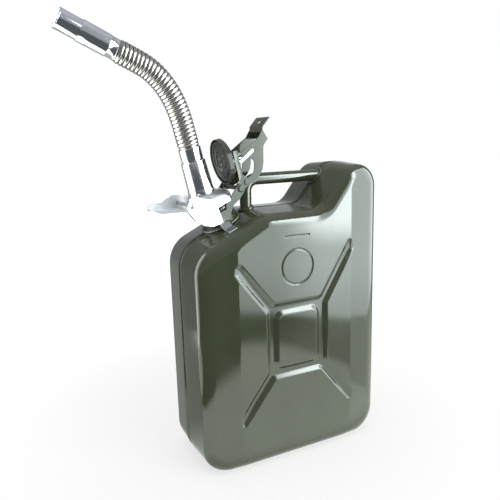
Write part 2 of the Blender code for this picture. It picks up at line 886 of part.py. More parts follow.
def build_hinge_pin(frame):
    span = neck_radius + clearance * 2 + lug_thickness
    head = hinge_head_height
    crown = hinge_head_radius * head_chamfer_share
    profile = [(0, -span - head), (crown, -span - head), (hinge_head_radius, -span - head / 2),
               (hinge_head_radius, -span), (hinge_pin_radius, -span), (hinge_pin_radius, span),
               (hinge_head_radius, span), (hinge_head_radius, span + head / 2), (crown, span + head),
               (0, span + head)]
    return turned("hinge_pin", profile, small_steps, zinc("hinge_pin"), frame,
                  (hinge_reach, 0, hinge_height), "Y")


# Cap, drawn shut about the hinge and then swung open by its pivot

def cap_level(height):
    """Height above the mouth, as a height above the hinge pin."""
    return neck_length + height - hinge_height


def build_cap(pivot):
    centre = (-hinge_reach, 0, 0)
    seal_low = clearance
    seal_high = seal_low + seal_thickness
    top = cap_level(seal_high + cap_height - seal_thickness)
    under = top - cap_wall
    low = cap_level(-cap_skirt)
    hole = cap_rivet_radius + clearance
    boss = cap_radius * cap_boss_share
    inner = cap_radius - cap_wall
    profile = [(hole, under), (boss - cap_wall, under), (boss, under - cap_wall),
               (cap_radius - cap_edge, under - cap_wall), (inner, under - cap_edge), (inner, low),
               (cap_radius, low), (cap_radius, under - cap_shoulder), (cap_radius - cap_shoulder, under),
               (boss + cap_wall, under), (boss, top), (hole, top)]
    turned("cap", profile, round_steps, olive_enamel("cap"), pivot, centre)
    build_seal(pivot, centre, cap_level(seal_low), cap_level(seal_high))
    build_cap_rivet(pivot, centre, cap_level(seal_high) + clearance, under, top)
    return top


def build_seal(pivot, centre, low, high):
    mid = seal_radius * seal_ring_share
    profile = [(0, low + seal_ridge), (mid - seal_ridge * 2, low + seal_ridge), (mid, low),
               (mid + seal_ridge * 2, low + seal_ridge / 2), (seal_radius - seal_ridge, low),
               (seal_radius, low + seal_ridge), (seal_radius, high), (0, high)]
    turned("cap_seal", profile, round_steps, rubber("cap_seal"), pivot, centre)


def build_cap_rivet(pivot, centre, low, under, top):
    """The cap's bolt, the washer under its yoke and the spring washers stacked above it."""
    head_top = min(low + cap_wall, under - clearance)
    web_high = top + yoke_gap + yoke_thickness
    crown = web_high + stack_height + clearance * 2
    chamfer = cap_rivet_head * head_chamfer_share
    profile = [(0, low), (cap_rivet_head, low), (cap_rivet_head, head_top), (cap_rivet_radius, head_top),
               (cap_rivet_radius, crown), (cap_rivet_head, crown), (chamfer, crown + cap_wall * 2),
               (0, crown + cap_wall * 2)]
    turned("cap_rivet", profile, small_steps, zinc("cap_rivet"), pivot, centre)
    hole = cap_rivet_radius + clearance
    washer = [(hole, top + washer_height), (washer_radius, top + clearance),
              (washer_radius, top + clearance + cap_wall / 2), (hole, top + washer_height + cap_wall / 2)]
    turned("cap_washer", washer, small_steps + 4, bright_steel("cap_washer"), pivot, centre)
    start = web_high + clearance
    waist = cap_rivet_head * stack_waist_share
    stack = [(hole, start), (waist, start)]
    for k in range(stack_folds):
        stack.append((cap_rivet_head, start + stack_height * (2 * k + 1) / (2 * stack_folds)))
        stack.append((waist, start + stack_height * (k + 1) / stack_folds))
    stack.append((hole, start + stack_height))
    turned("cap_spring", stack, small_steps, bright_steel("cap_spring"), pivot, centre)


def build_yoke(pivot, top):
    """The stirrup over the cap: a web, two hinged side plates and a strut on each that backs the lever."""
    low = top + yoke_gap
    high = low + yoke_thickness
    left = -hinge_reach - cap_rivet_head * 2
    right = -lever_pin_back - yoke_eye_radius
    middle = yoke_half_width - yoke_thickness / 2
    inset = yoke_thickness / 4
    web = plate("cap_yoke", box_between(left + inset, low + inset, right - inset, high - inset), -middle, middle,
                olive_enamel("cap_yoke"), pivot)
    hinge = Vector((0, 0))
    lever = Vector((-lever_pin_back, lever_pin_rise))
    side = vectors([(left, low), (right, low)])
    side += eye(hinge, yoke_eye_radius, -math.radians(140), math.radians(20), 6)
    side += eye(lever, yoke_eye_radius, math.radians(20), math.radians(130), 5)
    side += vectors([(right - yoke_eye_radius, high + yoke_rise), (left, high + yoke_rise)])
    strut = build_strut_outline((low + high) / 2)
    for face in (-1, 1):
        near, far = sorted((face * yoke_half_width, face * (yoke_half_width - yoke_thickness)))
        fuse(web, plate(f"yoke_side_{face}", side, near, far, None, pivot))
        skin = yoke_thickness / 8
        fuse(web, plate(f"yoke_strut_{face}", strut, near + skin, far - skin, None, pivot))
    for name, point, radius in (("yoke_hinge_hole", hinge, hinge_pin_radius),
                                ("yoke_lever_hole", lever, lever_pin_radius)):
        cut(web, rod(name, radius + clearance, -can_depth / 2, can_depth / 2, axis="Y",
                     place=(point.x, 0, point.y), parent=pivot))
    cut(web, rod("yoke_rivet_hole", cap_rivet_radius + clearance, low - overrun, high + overrun,
                 place=(-hinge_reach, 0, 0), parent=pivot))
    return web


def build_strut_outline(level):
    """A narrow bar with a round end, leaning from the side plate towards the lever."""
    root = Vector((-strut_foot, level))
    along = Vector((-math.sin(strut_lean), math.cos(strut_lean)))
    across = Vector((along.y, -along.x)) * (strut_width / 2)
    tip = root + along * strut_length
    corners = [root - across, root + across, tip + across, tip - across]
    round_end = strut_width / 2 - clearance
    return rounded(corners, [clearance, clearance, round_end, round_end], 3)


def build_lever_rivets(pivot):
    """Two short rivets that join the lever's arms to the yoke's sides."""
    inner = lever_half_width - lever_thickness - clearance
    outer = yoke_half_width + clearance
    head = lever_thickness / 2
    wide = lever_pin_radius * 2
    chamfer = wide * head_chamfer_share
    profile = [(0, inner - head), (wide, inner - head), (wide, inner), (lever_pin_radius, inner),
               (lever_pin_radius, outer), (wide, outer), (chamfer, outer + head), (0, outer + head)]
    for name, side in (("lever_rivet_front", 1), ("lever_rivet_rear", -1)):
        made = turned(name, profile, small_steps, zinc(name), pivot, (-lever_pin_back, 0, lever_pin_rise))
        made.rotation_euler = (side * math.pi / 2, 0, 0)


# Closing lever, drawn about its rivets as it stands when open

def build_lever(pivot):
    """Two hooked arms joined by a web across their shoulders, with a pressed thumb tab above it."""
    corners = shared(lever_outline_shares, lever_height)
    outline = rounded(corners, [share * lever_height for share in lever_round_shares], 3)
    inner = lever_half_width - lever_thickness
    made = plate("closing_lever", outline, -lever_half_width, -inner, olive_enamel("closing_lever"), pivot)
    fuse(made, plate("lever_far_arm", outline, inner, lever_half_width, None, pivot))
    fuse(made, build_tab(pivot, corners[0], corners[1]))
    hole = rod("lever_hole", lever_pin_radius + clearance, -can_depth / 2, can_depth / 2, axis="Y", parent=pivot)
    return cut(made, hole)


def build_tab(pivot, crest, shoulder):
    """The bent sheet between the arms: down the web to the shoulder and up to the tab's tip."""
    thick = lever_thickness
    down = (shoulder - crest).normalized()
    inward = Vector((down.y, -down.x))
    edge = crest + down * thick + inward * (thick / 2)
    foot = shoulder - down * thick + inward * (thick / 2)
    knee = Vector(tab_knee_shares) * lever_height
    tip = Vector(tab_tip_shares) * lever_height
    lean = (tip - knee).normalized()
    side = Vector((lean.y, -lean.x)) * thick
    section = [foot, edge + side / 2, knee + side, tip + side, tip, knee, edge + inward * thick,
               foot + inward * thick]
    middle = lever_half_width - thick / 2
    tab = plate("lever_tab", section, -middle, middle, None, pivot)
    spot = knee.lerp(tip, 0.5)
    hole = turned("tab_hole", [(0, -overrun), (tab_hole_radius, -overrun), (tab_hole_radius, overrun),
                               (0, overrun)], small_steps, None, pivot, (spot.x, 0, spot.y), "Z")
    hole.rotation_euler = (0, math.atan2(side.x, side.y), 0)
    return cut(tab, hole)


# Spout base and clamp

def ring_points(centre, lean, radius, steps):
    """A circle about a centre in the X-Z plane, its axis turned by lean from the neck's axis."""
    points = []
    for k in range(steps):
        angle = math.tau * k / steps
        x = radius * math.cos(angle)
        points.append((centre.x + x * math.cos(lean), radius * math.sin(angle), centre.y - x * math.sin(lean)))
    return points


def build_gasket(frame):
    low = neck_length + clearance
    high = low + gasket_thickness
    profile = [(gasket_inner, low), (lip_radius, low), (lip_radius, high), (gasket_inner, high)]
    turned("spout_gasket", profile, round_steps, rubber("spout_gasket"), frame)


def build_dome(frame):
    """The spout's foot: a round base on the mouth, drawn over to the leaning tube."""
    base = neck_length + clearance * 2 + gasket_thickness
    rim = base + dome_rim_height
    rings = [ring_points(Vector((0, height)), 0.0, dome_base_radius, round_steps) for height in (base, rim)]
    for k in range(1, 5):
        share = k / 4
        soft = math.sin(share * math.pi / 2)
        radius = dome_base_radius + (dome_top_radius - dome_base_radius) * share ** dome_taper_power
        centre = Vector((dome_shift * soft, rim + (dome_top_height - rim) * soft))
        rings.append(ring_points(centre, spout_lean * share, radius, round_steps))
    inner = [shrunk(ring, dome_wall) for ring in rings]
    bm = bmesh.new()
    loops = [add_loop(bm, ring) for ring in rings + inner[::-1]]
    for first, second in zip(loops, loops[1:] + loops[:1]):
        bridge(bm, first, second)
    place_mesh("spout_foot", bm, zinc("spout_foot"), frame)


def shrunk(ring, wall):
    """A ring drawn in towards its own centre by a wall."""
    middle = sum((Vector(point) for point in ring), Vector()) / len(ring)
    return [Vector(point) + (middle - Vector(point)).normalized() * wall for point in ring]


def build_spout_tube(frame):
    """The plated base tube, flared at its foot and stepped in where the ferrule grips it."""
    length = spout_tube_length
    step = length - ferrule_length - clearance
    outer = [(dome_top_radius, clearance), (spout_tube_foot, length * spout_flare_share),
             (spout_tube_step, step - spout_wall), (spout_tube_top, step), (spout_tube_top, length)]
    inner = [(radius - spout_wall, height) for radius, height in reversed(outer)]
    turned("spout_tube", outer + inner, tube_steps, bright_steel("spout_tube"), frame)


def build_ferrule(name, frame, place, radius, length):
    inner = radius + clearance
    outer = inner + ferrule_wall
    chamfer = ferrule_wall / 2
    profile = [(inner, 0), (outer - chamfer, 0), (outer, chamfer), (outer, length - chamfer),
               (outer - chamfer, length), (inner, length)]
    turned(name, profile, tube_steps, bright_steel(name), frame, place)


def build_cheeks(frame):
    """Two cheeks that straddle the neck and carry the clamp lever's pin."""
    outline = rounded(shared(cheek_outline_shares, neck_radius),
                      [share * neck_radius for share in cheek_round_shares], 3)
    for name, side in (("clamp_cheek_front", -1), ("clamp_cheek_rear", 1)):
        near, far = sorted((side * cheek_outset, side * (cheek_outset + cheek_thickness)))
        cheek = plate(name, outline, near, far, zinc(name), frame)
        cut(cheek, rod(name + "_hole", thumb_pin_radius + clearance, -can_depth / 2, can_depth / 2, axis="Y",
                       place=(thumb_pin_back, 0, thumb_pin_height), parent=frame))


def build_thumb_pin(frame):
    span = cheek_outset + cheek_thickness + clearance
    head = thumb_head_height
    crown = thumb_head_radius * head_chamfer_share
    profile = [(0, -span - head), (crown, -span - head), (thumb_head_radius, -span),
               (thumb_pin_radius, -span), (thumb_pin_radius, span), (thumb_head_radius, span),
               (crown, span + head), (0, span + head)]
    turned("clamp_pin", profile, small_steps, bright_steel("clamp_pin"), frame,
           (thumb_pin_back, 0, thumb_pin_height), "Y")


def build_thumb_lever(pivot):
    """The clamp's lever: a flat thumb plate, its front edge turned down and its rear edge turned up."""
    thick = thumb_thickness
    inner = thumb_half_width - thick
    level = box_between(-thumb_length, -thumb_drop - thick, -thumb_length * thumb_root_share, -thumb_drop)
    middle = thumb_half_width - thick / 2
    made = plate("clamp_lever", level, -middle, middle, zinc("clamp_lever"), pivot)
    for name, shares, rounds, near, far in (
            ("clamp_front_wing", front_wing_shares, front_round_shares, -thumb_half_width, -inner),
            ("clamp_rear_wing", rear_wing_shares, rear_round_shares, inner, thumb_half_width)):
        outline = rounded(shared(shares, thumb_length), [share * thumb_length for share in rounds], 3)
        fuse(made, plate(name, outline, near, far, None, pivot))
    return cut(made, rod("clamp_hole", thumb_pin_radius + clearance, -can_depth / 2, can_depth / 2, axis="Y",
                         parent=pivot))


# Hose and nozzle

def hose_route(start, start_lean, end, end_lean, points):
    """A smooth bend whose first and last stretches run straight for about one diameter."""
    straight = 2 * hose_radius
    first = start + Vector((math.sin(start_lean), math.cos(start_lean))) * straight
    last = end - Vector((math.sin(end_lean), math.cos(end_lean))) * straight
    pull = (last - first).length * hose_pull_share
    grip_a = first + Vector((math.sin(start_lean), math.cos(start_lean))) * pull
    grip_b = last - Vector((math.sin(end_lean), math.cos(end_lean))) * pull
    fine = [start]
    steps = points * 4
    for k in range(steps + 1):
        t = k / steps
        fine.append(first * (1 - t) ** 3 + grip_a * (3 * t * (1 - t) ** 2) + grip_b * (3 * t * t * (1 - t))
                    + last * t ** 3)
    fine.append(end)
    return even_points(fine, points)


def even_points(fine, count):
    """Points at equal steps along a finely drawn route."""
    lengths = [0.0]
    for a, b in zip(fine, fine[1:]):
        lengths.append(lengths[-1] + (b - a).length)
    points = []
    i = 0
    for k in range(count + 1):
        wanted = lengths[-1] * k / count
        while i < len(fine) - 2 and lengths[i + 1] < wanted:
            i += 1
        share = (wanted - lengths[i]) / (lengths[i + 1] - lengths[i])
        points.append(fine[i].lerp(fine[i + 1], share))
    return points


def build_hose(start, start_lean, end, end_lean):
    """The flexible metal hose: a ribbed tube with its bore cut out."""
    count = hose_ribs * 2
    route = hose_route(start, start_lean, end, end_lean, count)
    radii = [hose_root_radius if k % 2 == 0 else hose_radius for k in range(count + 1)]
    made = tube("hose", [(p.x, 0, p.y) for p in route], hose_radius, bright_steel("hose"), radii=radii)
    plain = hose_route(start, start_lean, end, end_lean, 16)
    ahead = Vector((math.sin(end_lean), math.cos(end_lean))) * overrun
    back = Vector((math.sin(start_lean), math.cos(start_lean))) * overrun
    plain = [plain[0] - back] + plain[1:-1] + [plain[-1] + ahead]
    bore = tube("hose_bore", [(p.x, 0, p.y) for p in plain], hose_bore)
    return cut(made, bore)


def build_nozzle(frame):
    """The stiff pouring end: a plain tube in its ferrule and a wider tip crimped onto it."""
    wall = spout_wall
    start = clearance
    shank = [(nozzle_radius - wall, start), (nozzle_radius, start), (nozzle_radius, nozzle_length),
             (nozzle_radius - wall, nozzle_length)]
    turned("nozzle_shank", shank, tube_steps, zinc("nozzle_shank"), frame)
    low = nozzle_length - tip_lap
    high = nozzle_length + tip_length
    inner = nozzle_radius + clearance
    tip = [(inner, low), (inner + wall / 2, low), (tip_radius, low + tip_taper), (tip_radius, high - wall / 2),
           (tip_radius - wall / 2, high), (inner, high)]
    turned("nozzle_tip", tip, tube_steps, zinc("nozzle_tip"), frame)


# Assembly

def build_body(neck_frame):
    bore = neck_radius + clearance
    block = can_block("body_trim", clearance)
    for name, side in (("front_shell", -1), ("rear_shell", 1)):
        shell = shell_half(name, side)
        cut(shell, rod(name + "_neck_cut", bore, -neck_length, neck_length, parent=neck_frame, steps=round_steps))
    build_seam_welds(neck_frame)
    build_neck(neck_frame)
    build_neck_weld(neck_frame, block)
    build_vent()
    build_handle(block)
    build_handle_welds(block)
    build_lugs(neck_frame)
    build_hinge_pin(neck_frame)


def build_closure(neck_frame):
    cap_pivot = empty("cap_pivot", (hinge_reach, 0, hinge_height), cap_open, neck_frame)
    top = build_cap(cap_pivot)
    build_yoke(cap_pivot, top)
    build_lever_rivets(cap_pivot)
    upright = slope - cap_open
    lever_pivot = empty("lever_pivot", (-lever_pin_back, 0, lever_pin_rise), upright, cap_pivot)
    build_lever(lever_pivot)


def build_spout(neck_frame):
    build_gasket(neck_frame)
    build_dome(neck_frame)
    build_cheeks(neck_frame)
    build_thumb_pin(neck_frame)
    thumb_pivot = empty("clamp_pivot", (thumb_pin_back, 0, thumb_pin_height), slope, neck_frame)
    build_thumb_lever(thumb_pivot)
    tube_frame = empty("spout_tube_frame", (dome_shift, 0, dome_top_height), spout_lean, neck_frame)
    build_spout_tube(tube_frame)
    lean = spout_lean - slope
    foot = Vector(neck_point(dome_shift, dome_top_height))
    top = foot + Vector((math.sin(lean), math.cos(lean))) * (spout_tube_length + clearance)
    end = Vector((neck_base.x - hose_reach, neck_base.z + hose_rise))
    end_lean = nozzle_rise - math.pi / 2
    build_hose(top, lean, end, end_lean)
    build_ferrule("lower_ferrule", tube_frame, (0, 0, spout_tube_length - ferrule_length),
                  spout_tube_top, ferrule_length)
    nozzle_frame = empty("nozzle_frame", (end.x, 0, end.y), end_lean)
    build_nozzle(nozzle_frame)
    build_ferrule("upper_ferrule", nozzle_frame, (0, 0, clearance), nozzle_radius, ferrule_length)


def main():
    clear_scene()
    neck_frame = empty("neck_frame", neck_base, -slope)
    build_body(neck_frame)
    build_closure(neck_frame)
    build_spout(neck_frame)


main()
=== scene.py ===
"""Looks of a pressed steel jerry can with a clamped-on pouring spout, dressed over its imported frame."""

import math

import bmesh
import bpy
from bpy.props import FloatProperty, FloatVectorProperty, PointerProperty
from mathutils import Matrix, Vector
from mathutils.geometry import delaunay_2d_cdt


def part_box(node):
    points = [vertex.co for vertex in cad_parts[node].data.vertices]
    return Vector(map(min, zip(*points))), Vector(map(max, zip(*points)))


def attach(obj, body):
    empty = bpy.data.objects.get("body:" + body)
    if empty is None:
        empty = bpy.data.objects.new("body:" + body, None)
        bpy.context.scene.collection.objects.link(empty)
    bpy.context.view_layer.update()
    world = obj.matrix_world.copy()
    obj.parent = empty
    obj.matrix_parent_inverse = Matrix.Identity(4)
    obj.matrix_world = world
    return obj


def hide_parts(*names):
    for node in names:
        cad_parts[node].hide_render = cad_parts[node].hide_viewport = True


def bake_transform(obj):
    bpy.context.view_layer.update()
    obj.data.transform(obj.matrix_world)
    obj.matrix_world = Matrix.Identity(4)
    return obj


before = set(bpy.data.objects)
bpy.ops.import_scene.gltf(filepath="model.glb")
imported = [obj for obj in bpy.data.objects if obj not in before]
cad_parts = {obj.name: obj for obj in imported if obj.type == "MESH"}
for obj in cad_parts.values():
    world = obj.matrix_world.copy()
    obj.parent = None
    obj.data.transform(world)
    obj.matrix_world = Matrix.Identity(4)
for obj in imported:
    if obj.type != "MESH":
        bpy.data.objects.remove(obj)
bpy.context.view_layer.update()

bl_info = {
    "name": "Jerry Can Dressing",
    "version": (1, 0, 0),
    "blender": (4, 5, 0),
    "location": "3D View > Sidebar > Jerry Can",
    "description": "Enamel, plated steel and pressed detail for a jerry can and its pouring spout",
    "category": "Object",
}

# Sizes taken from the frame
can_low, can_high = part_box("front_shell")
can_width = can_high.x - can_low.x
hump_height = can_high.z
can_depth = 2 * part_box("rear_shell")[1].y

# The can's outline and section
valley_height = hump_height - 0.056
shoulder_height = hump_height - 0.102
valley_left = can_width * -0.150
valley_right = can_width * 0.143
hump_left = can_width * 0.300
base_radius = 0.040
hump_outer_radius = 0.034
hump_inner_radius = 0.030
valley_radius = 0.026
crest_radius = 0.030
shoulder_radius = 0.045
wall_draft = 0.003
face_radius = 0.018
panel_half_width = can_width * 0.307
panel_fall = 0.16
seam_depth = 0.0025
seam_half_width = 0.0030
seam_shoulder = 0.0020
seam_floor = seam_half_width * 0.8
weld_pitch = 0.0011
weld_room = 0.002
weld_lift = 0.0006
fold_blend = 0.0012
fold_pitch = 0.003
fold_end = face_radius + 0.004
arc_steps = 14

# The pressed figure
figure_height = shoulder_height * 0.58
plateau_half_width = 0.029
plateau_half_height = figure_height * 0.201
plateau_radius = 0.007
channel_width = 0.019
channel_depth = 0.0042
channel_bevel = 0.0074
bevel_rounding = 0.22
arm_width = 0.018
arm_reach = can_width * 0.3286
arm_cut = 0.955
arm_root_height = figure_height * 0.236
arm_rise = figure_height * 0.559
hump_arm_rise = figure_height * 0.645
arm_tip_radius = 0.0068
tip_start = 0.72
tip_fade = 0.62
panel_corner_radius = 0.005
smallest_radius = 0.0005
figure_top = figure_height + plateau_half_height + channel_width
ring_radius = 0.0235
ring_height = figure_top + (valley_height - figure_top) * 0.373
bar_length = 0.039
bar_height = figure_top + (valley_height - figure_top) * 0.72
mark_width = 0.0034
mark_depth = 0.0012

# Neck, handle and closure
neck_place = can_width * -0.2786
neck_radius = 0.024
neck_wall = 0.0016
neck_length = 0.026
neck_inside = 0.010
neck_bead = 0.0024
lip_radius = 0.0253
lip_height = 0.0035
lip_taper = 0.0013
handle_radius = 0.008
handle_height = valley_height + 0.038
handle_post = can_width * -0.1464
handle_bend = 0.016
handle_root = 0.003
handle_lap = 0.004
handle_bead = 0.0021
handle_foot_tilt = math.radians(12.6)
hinge_reach = 0.036
hinge_height = 0.034
cap_open = math.radians(103)
seal_radius = 0.0276
seal_thickness = 0.0036
seal_middle = 0.0155
seal_rounding = 0.0006
seal_ribs = ((0, 0.0022), (0.0058, 0.0022), (0.0072, 0.0012), (0.0088, 0.0012), (0.0100, 0.0024),
             (0.0140, 0.0024), (0.0152, 0.0006), (0.0182, 0), (0.0206, 0.0012), (0.0216, 0.0020),
             (0.0232, 0.0020), (0.0242, 0.0004), (0.0262, 0), (seal_radius, 0.0012))
strut_foot = 0.0282
strut_level = 0.0038
strut_lean = math.radians(27.2)

# Spout
gasket_thickness = 0.0020
dome_base_radius = 0.0279
dome_rim_height = 0.0050
dome_top_radius = 0.0178
dome_top_height = 0.0480
dome_shift = -0.0060
dome_wall = 0.0018
spout_lean = math.radians(11.6)
spout_tube_length = 0.0600
spout_tube_foot = 0.0168
spout_tube_step = 0.0157
spout_tube_top = 0.0132
spout_wall = 0.0012
tube_rounding = 0.0005
joint_angle = math.radians(250)
joint_width = 0.07
joint_depth = 0.0005
ferrule_length = 0.0160
hose_radius = 0.0140
hose_root_radius = 0.0126
hose_bore = 0.0108
hose_ribs = 30
hose_pull = 0.36
nozzle_rise = math.radians(26.5)
nozzle_length = 0.0706
mouth_radius = 0.0121
mouth_lap = 0.0060
rim_radius = 0.0124
rim_length = 0.0020
sleeve_length = 0.0440
sleeve_radius = 0.0130
sleeve_foot_radius = 0.0124
dent_angle = math.radians(212)
dents = ((0.0405, 0.0034, 0.0009), (0.0070, 0.0050, 0.0002))
clearance = 0.0003
fine_rounding = 0.0002
same_place = 0.000002
circle_steps = 72
pipe_steps = 96

slope = math.atan2(valley_height - shoulder_height, can_width / 2 + valley_left)
neck_base = Vector((neck_place, 0, shoulder_height + (neck_place + can_width / 2) * math.tan(slope)))
hose_end = Vector((neck_base.x - 0.1230, neck_base.z + 0.2129))
flank = math.atan2(hump_left - valley_right, hump_height - valley_height)
hump_end = Vector((hump_left - (hump_height - handle_height) * math.tan(flank), 0, handle_height))

# Cards and floor
window_place = (0.558, -0.356, 0.481)
window_heading = math.radians(40.5)
window_size = (1.15, 0.96)
window_mean = 0.55
side_card_place = (-0.55, 0.14, 0.45)
side_card_heading = math.radians(65)
side_card_size = (1.04, 0.90)
floor_half = 4.0
lit_patch = (-0.50, 0.16, 0.0)
lamps_aim = Vector((0.0, 0.0, 0.2))
origin = (0.0, 0.0, 0.0)


# Settings

class CanLook(bpy.types.PropertyGroup):
    enamel: FloatVectorProperty(name="Enamel", description="Colour of the olive enamel", subtype="COLOR",
                                size=3, min=0.0, max=1.0, default=(0.047, 0.058, 0.032))
    dust: FloatVectorProperty(name="Dust", description="Colour of the thin dust on upward faces",
                              subtype="COLOR", size=3, min=0.0, max=1.0, default=(0.20, 0.19, 0.15))
    plate: FloatVectorProperty(name="Zinc plate", description="Colour of the bright plated steel",
                               subtype="COLOR", size=3, min=0.0, max=1.0, default=(0.80, 0.81, 0.83))
    hose: FloatVectorProperty(name="Hose steel", description="Colour of the flexible hose's strip",
                              subtype="COLOR", size=3, min=0.0, max=1.0, default=(0.62, 0.60, 0.58))
    rubber: FloatVectorProperty(name="Rubber", description="Colour of the seals", subtype="COLOR",
                                size=3, min=0.0, max=1.0, default=(0.016, 0.016, 0.019))
    waviness: FloatProperty(name="Waviness", description="How far the pressed sheet strays from flat",
                            subtype="DISTANCE", min=0.0, max=0.002, default=0.00022, precision=5)
    rounding: FloatProperty(name="Edge rounding", description="Radius worn onto the edges of small parts",
                            subtype="DISTANCE", min=0.0, max=0.001, default=0.00035, precision=5)


class StageLook(bpy.types.PropertyGroup):
    floor: FloatVectorProperty(name="Floor", description="Colour of the floor", subtype="COLOR", size=3,
                               min=0.0, max=1.0, default=(0.82, 0.82, 0.82))
    near_reach: FloatProperty(name="Near floor",
                              description="How far forward the lit floor shows in reflections",
                              subtype="DISTANCE", min=0.01, default=0.48)
    near_half: FloatProperty(name="Near floor side", description="How far the lit floor goes to either side",
                             subtype="DISTANCE", min=0.01, default=0.22)
    near_heading: FloatProperty(name="Near floor heading", description="Way the lit floor runs forward",
                                subtype="ANGLE", default=math.radians(15))
    studio: FloatProperty(name="Room light", description="Level of the light from all round", min=0.0,
                          default=0.50)
    key: FloatProperty(name="Key light", description="Radiance of the soft light that shapes the can",
                       min=0.0, default=3.0)
    window: FloatProperty(name="Window", description="Radiance of the window that the enamel mirrors",
                          min=0.0, default=10.0)
    overhead: FloatProperty(name="Overhead light", description="Radiance of the light overhead", min=0.0,
                            default=1.4)


class ShotFrame(bpy.types.PropertyGroup):
    place: FloatVectorProperty(name="Camera", description="Where the camera stands", subtype="TRANSLATION",
                               size=3, default=(-0.3623, -0.6594, 0.4416))
    heading: FloatProperty(name="Heading", description="Turn of the view from square to the front face",
                           subtype="ANGLE", default=math.radians(26.29))
    pitch: FloatProperty(name="Pitch", description="How far the view looks down", subtype="ANGLE",
                         default=math.radians(11.86))
    roll: FloatProperty(name="Roll", description="Tilt of the picture", subtype="ANGLE",
                        default=math.radians(-1.68))
    lens: FloatProperty(name="Lens", description="Focal length on a 36 mm frame in millimetres", default=39.29)


# Shader expressions

class Wire:
    """An output socket that Python's own arithmetic joins up with Math nodes."""

    def __init__(self, shader, socket):
        self.shader = shader
        self.socket = socket

    def __add__(self, other):
        return self.shader.maths("ADD", self, other)

    __radd__ = __add__

    def __sub__(self, other):
        return self.shader.maths("SUBTRACT", self, other)

    def __rsub__(self, other):
        return self.shader.maths("SUBTRACT", other, self)

    def __mul__(self, other):
        return self.shader.maths("MULTIPLY", self, other)

    __rmul__ = __mul__


class Shader:
    """One material or world, and the few ways its nodes are made."""

    def __init__(self, name, owner=None, keep=False):
        self.owner = owner or bpy.data.materials.new(name)
        self.owner.use_nodes = True
        self.tree = self.owner.node_tree
        if not keep:
            self.tree.nodes.clear()

    def node(self, kind, settings=None, values=None, output=0):
        made = self.tree.nodes.new(kind)
        for key, value in (settings or {}).items():
            setattr(made, key, value)
        for key, value in (values or {}).items():
            if isinstance(value, Wire):
                self.tree.links.new(value.socket, made.inputs[key])
            else:
                made.inputs[key].default_value = value
        return None if output is None else Wire(self, made.outputs[output])

    def maths(self, operation, first, second):
        return self.node("ShaderNodeMath", {"operation": operation}, {0: first, 1: second})

    def vector_maths(self, operation, first, second=(0.0, 0.0, 0.0), output="Vector"):
        return self.node("ShaderNodeVectorMath", {"operation": operation}, {0: first, 1: second}, output)

    def place(self):
        return self.node("ShaderNodeTexCoord", output="Object")

    def part(self, vector, axis):
        return self.node("ShaderNodeSeparateXYZ", None, {0: vector}, axis)

    def ray(self, kind):
        return self.node("ShaderNodeLightPath", output=f"Is {kind} Ray")

    def along(self, place, way):
        return self.vector_maths("DOT_PRODUCT", place, way, "Value")

    def distance(self, place, point):
        return self.vector_maths("DISTANCE", place, point, "Value")

    def stretched(self, place, scale):
        return self.vector_maths("MULTIPLY", place, scale)

    def noise(self, place, scale, detail=2.0, rough=0.5, warp=0.0):
        return self.node("ShaderNodeTexNoise", None, {"Vector": place, "Scale": scale, "Detail": detail,
                                                      "Roughness": rough, "Distortion": warp})

    def step(self, value, low, high, first=0.0, last=1.0):
        return self.node("ShaderNodeMapRange", {"interpolation_type": "SMOOTHSTEP"},
                         {"Value": value, "From Min": low, "From Max": high, "To Min": first, "To Max": last})

    def mixed(self, share, first, second):
        values = {0: share, 6: solid(first), 7: solid(second)}
        return self.node("ShaderNodeMix", {"data_type": "RGBA"}, values, 2)

    def bump(self, height, distance, strength=1.0, normal=None):
        values = {"Height": height, "Distance": distance, "Strength": strength}
        if normal:
            values["Normal"] = normal
        return self.node("ShaderNodeBump", None, values)

    def surface(self, colour, values):
        made = self.node("ShaderNodeBsdfPrincipled", None, {"Base Color": solid(colour), **values})
        return self.finished(made)

    def covered(self, share, colour, rough):
        """Let a share of the finished surface show a metal."""
        made = self.tree.nodes["Principled BSDF"]
        changes = (("Base Color", lambda old: self.mixed(share, old, colour)),
                   ("Roughness", lambda old: old * (1 - share) + share * rough),
                   ("Metallic", lambda old: self.maths("MAXIMUM", old, share)))
        for socket, change in changes:
            old = Wire(self, made.inputs[socket].links[0].from_socket)
            self.tree.links.new(change(old).socket, made.inputs[socket])
        return self.owner

    def emission(self, colour, strength):
        return self.node("ShaderNodeEmission", None, {"Color": solid(colour), "Strength": strength})

    def blended(self, share, first, second):
        return self.node("ShaderNodeMixShader", None, {0: share, 1: first, 2: second})

    def finished(self, surface):
        self.node("ShaderNodeOutputMaterial", None, {"Surface": surface}, None)
        return self.owner


def solid(colour):
    """A colour with its alpha, or a link as it is."""
    return colour if isinstance(colour, Wire) else (*colour[:3], 1.0)


def tinted(colour, factor):
    return tuple(min(1.0, part * factor) for part in colour[:3])


# Finishes

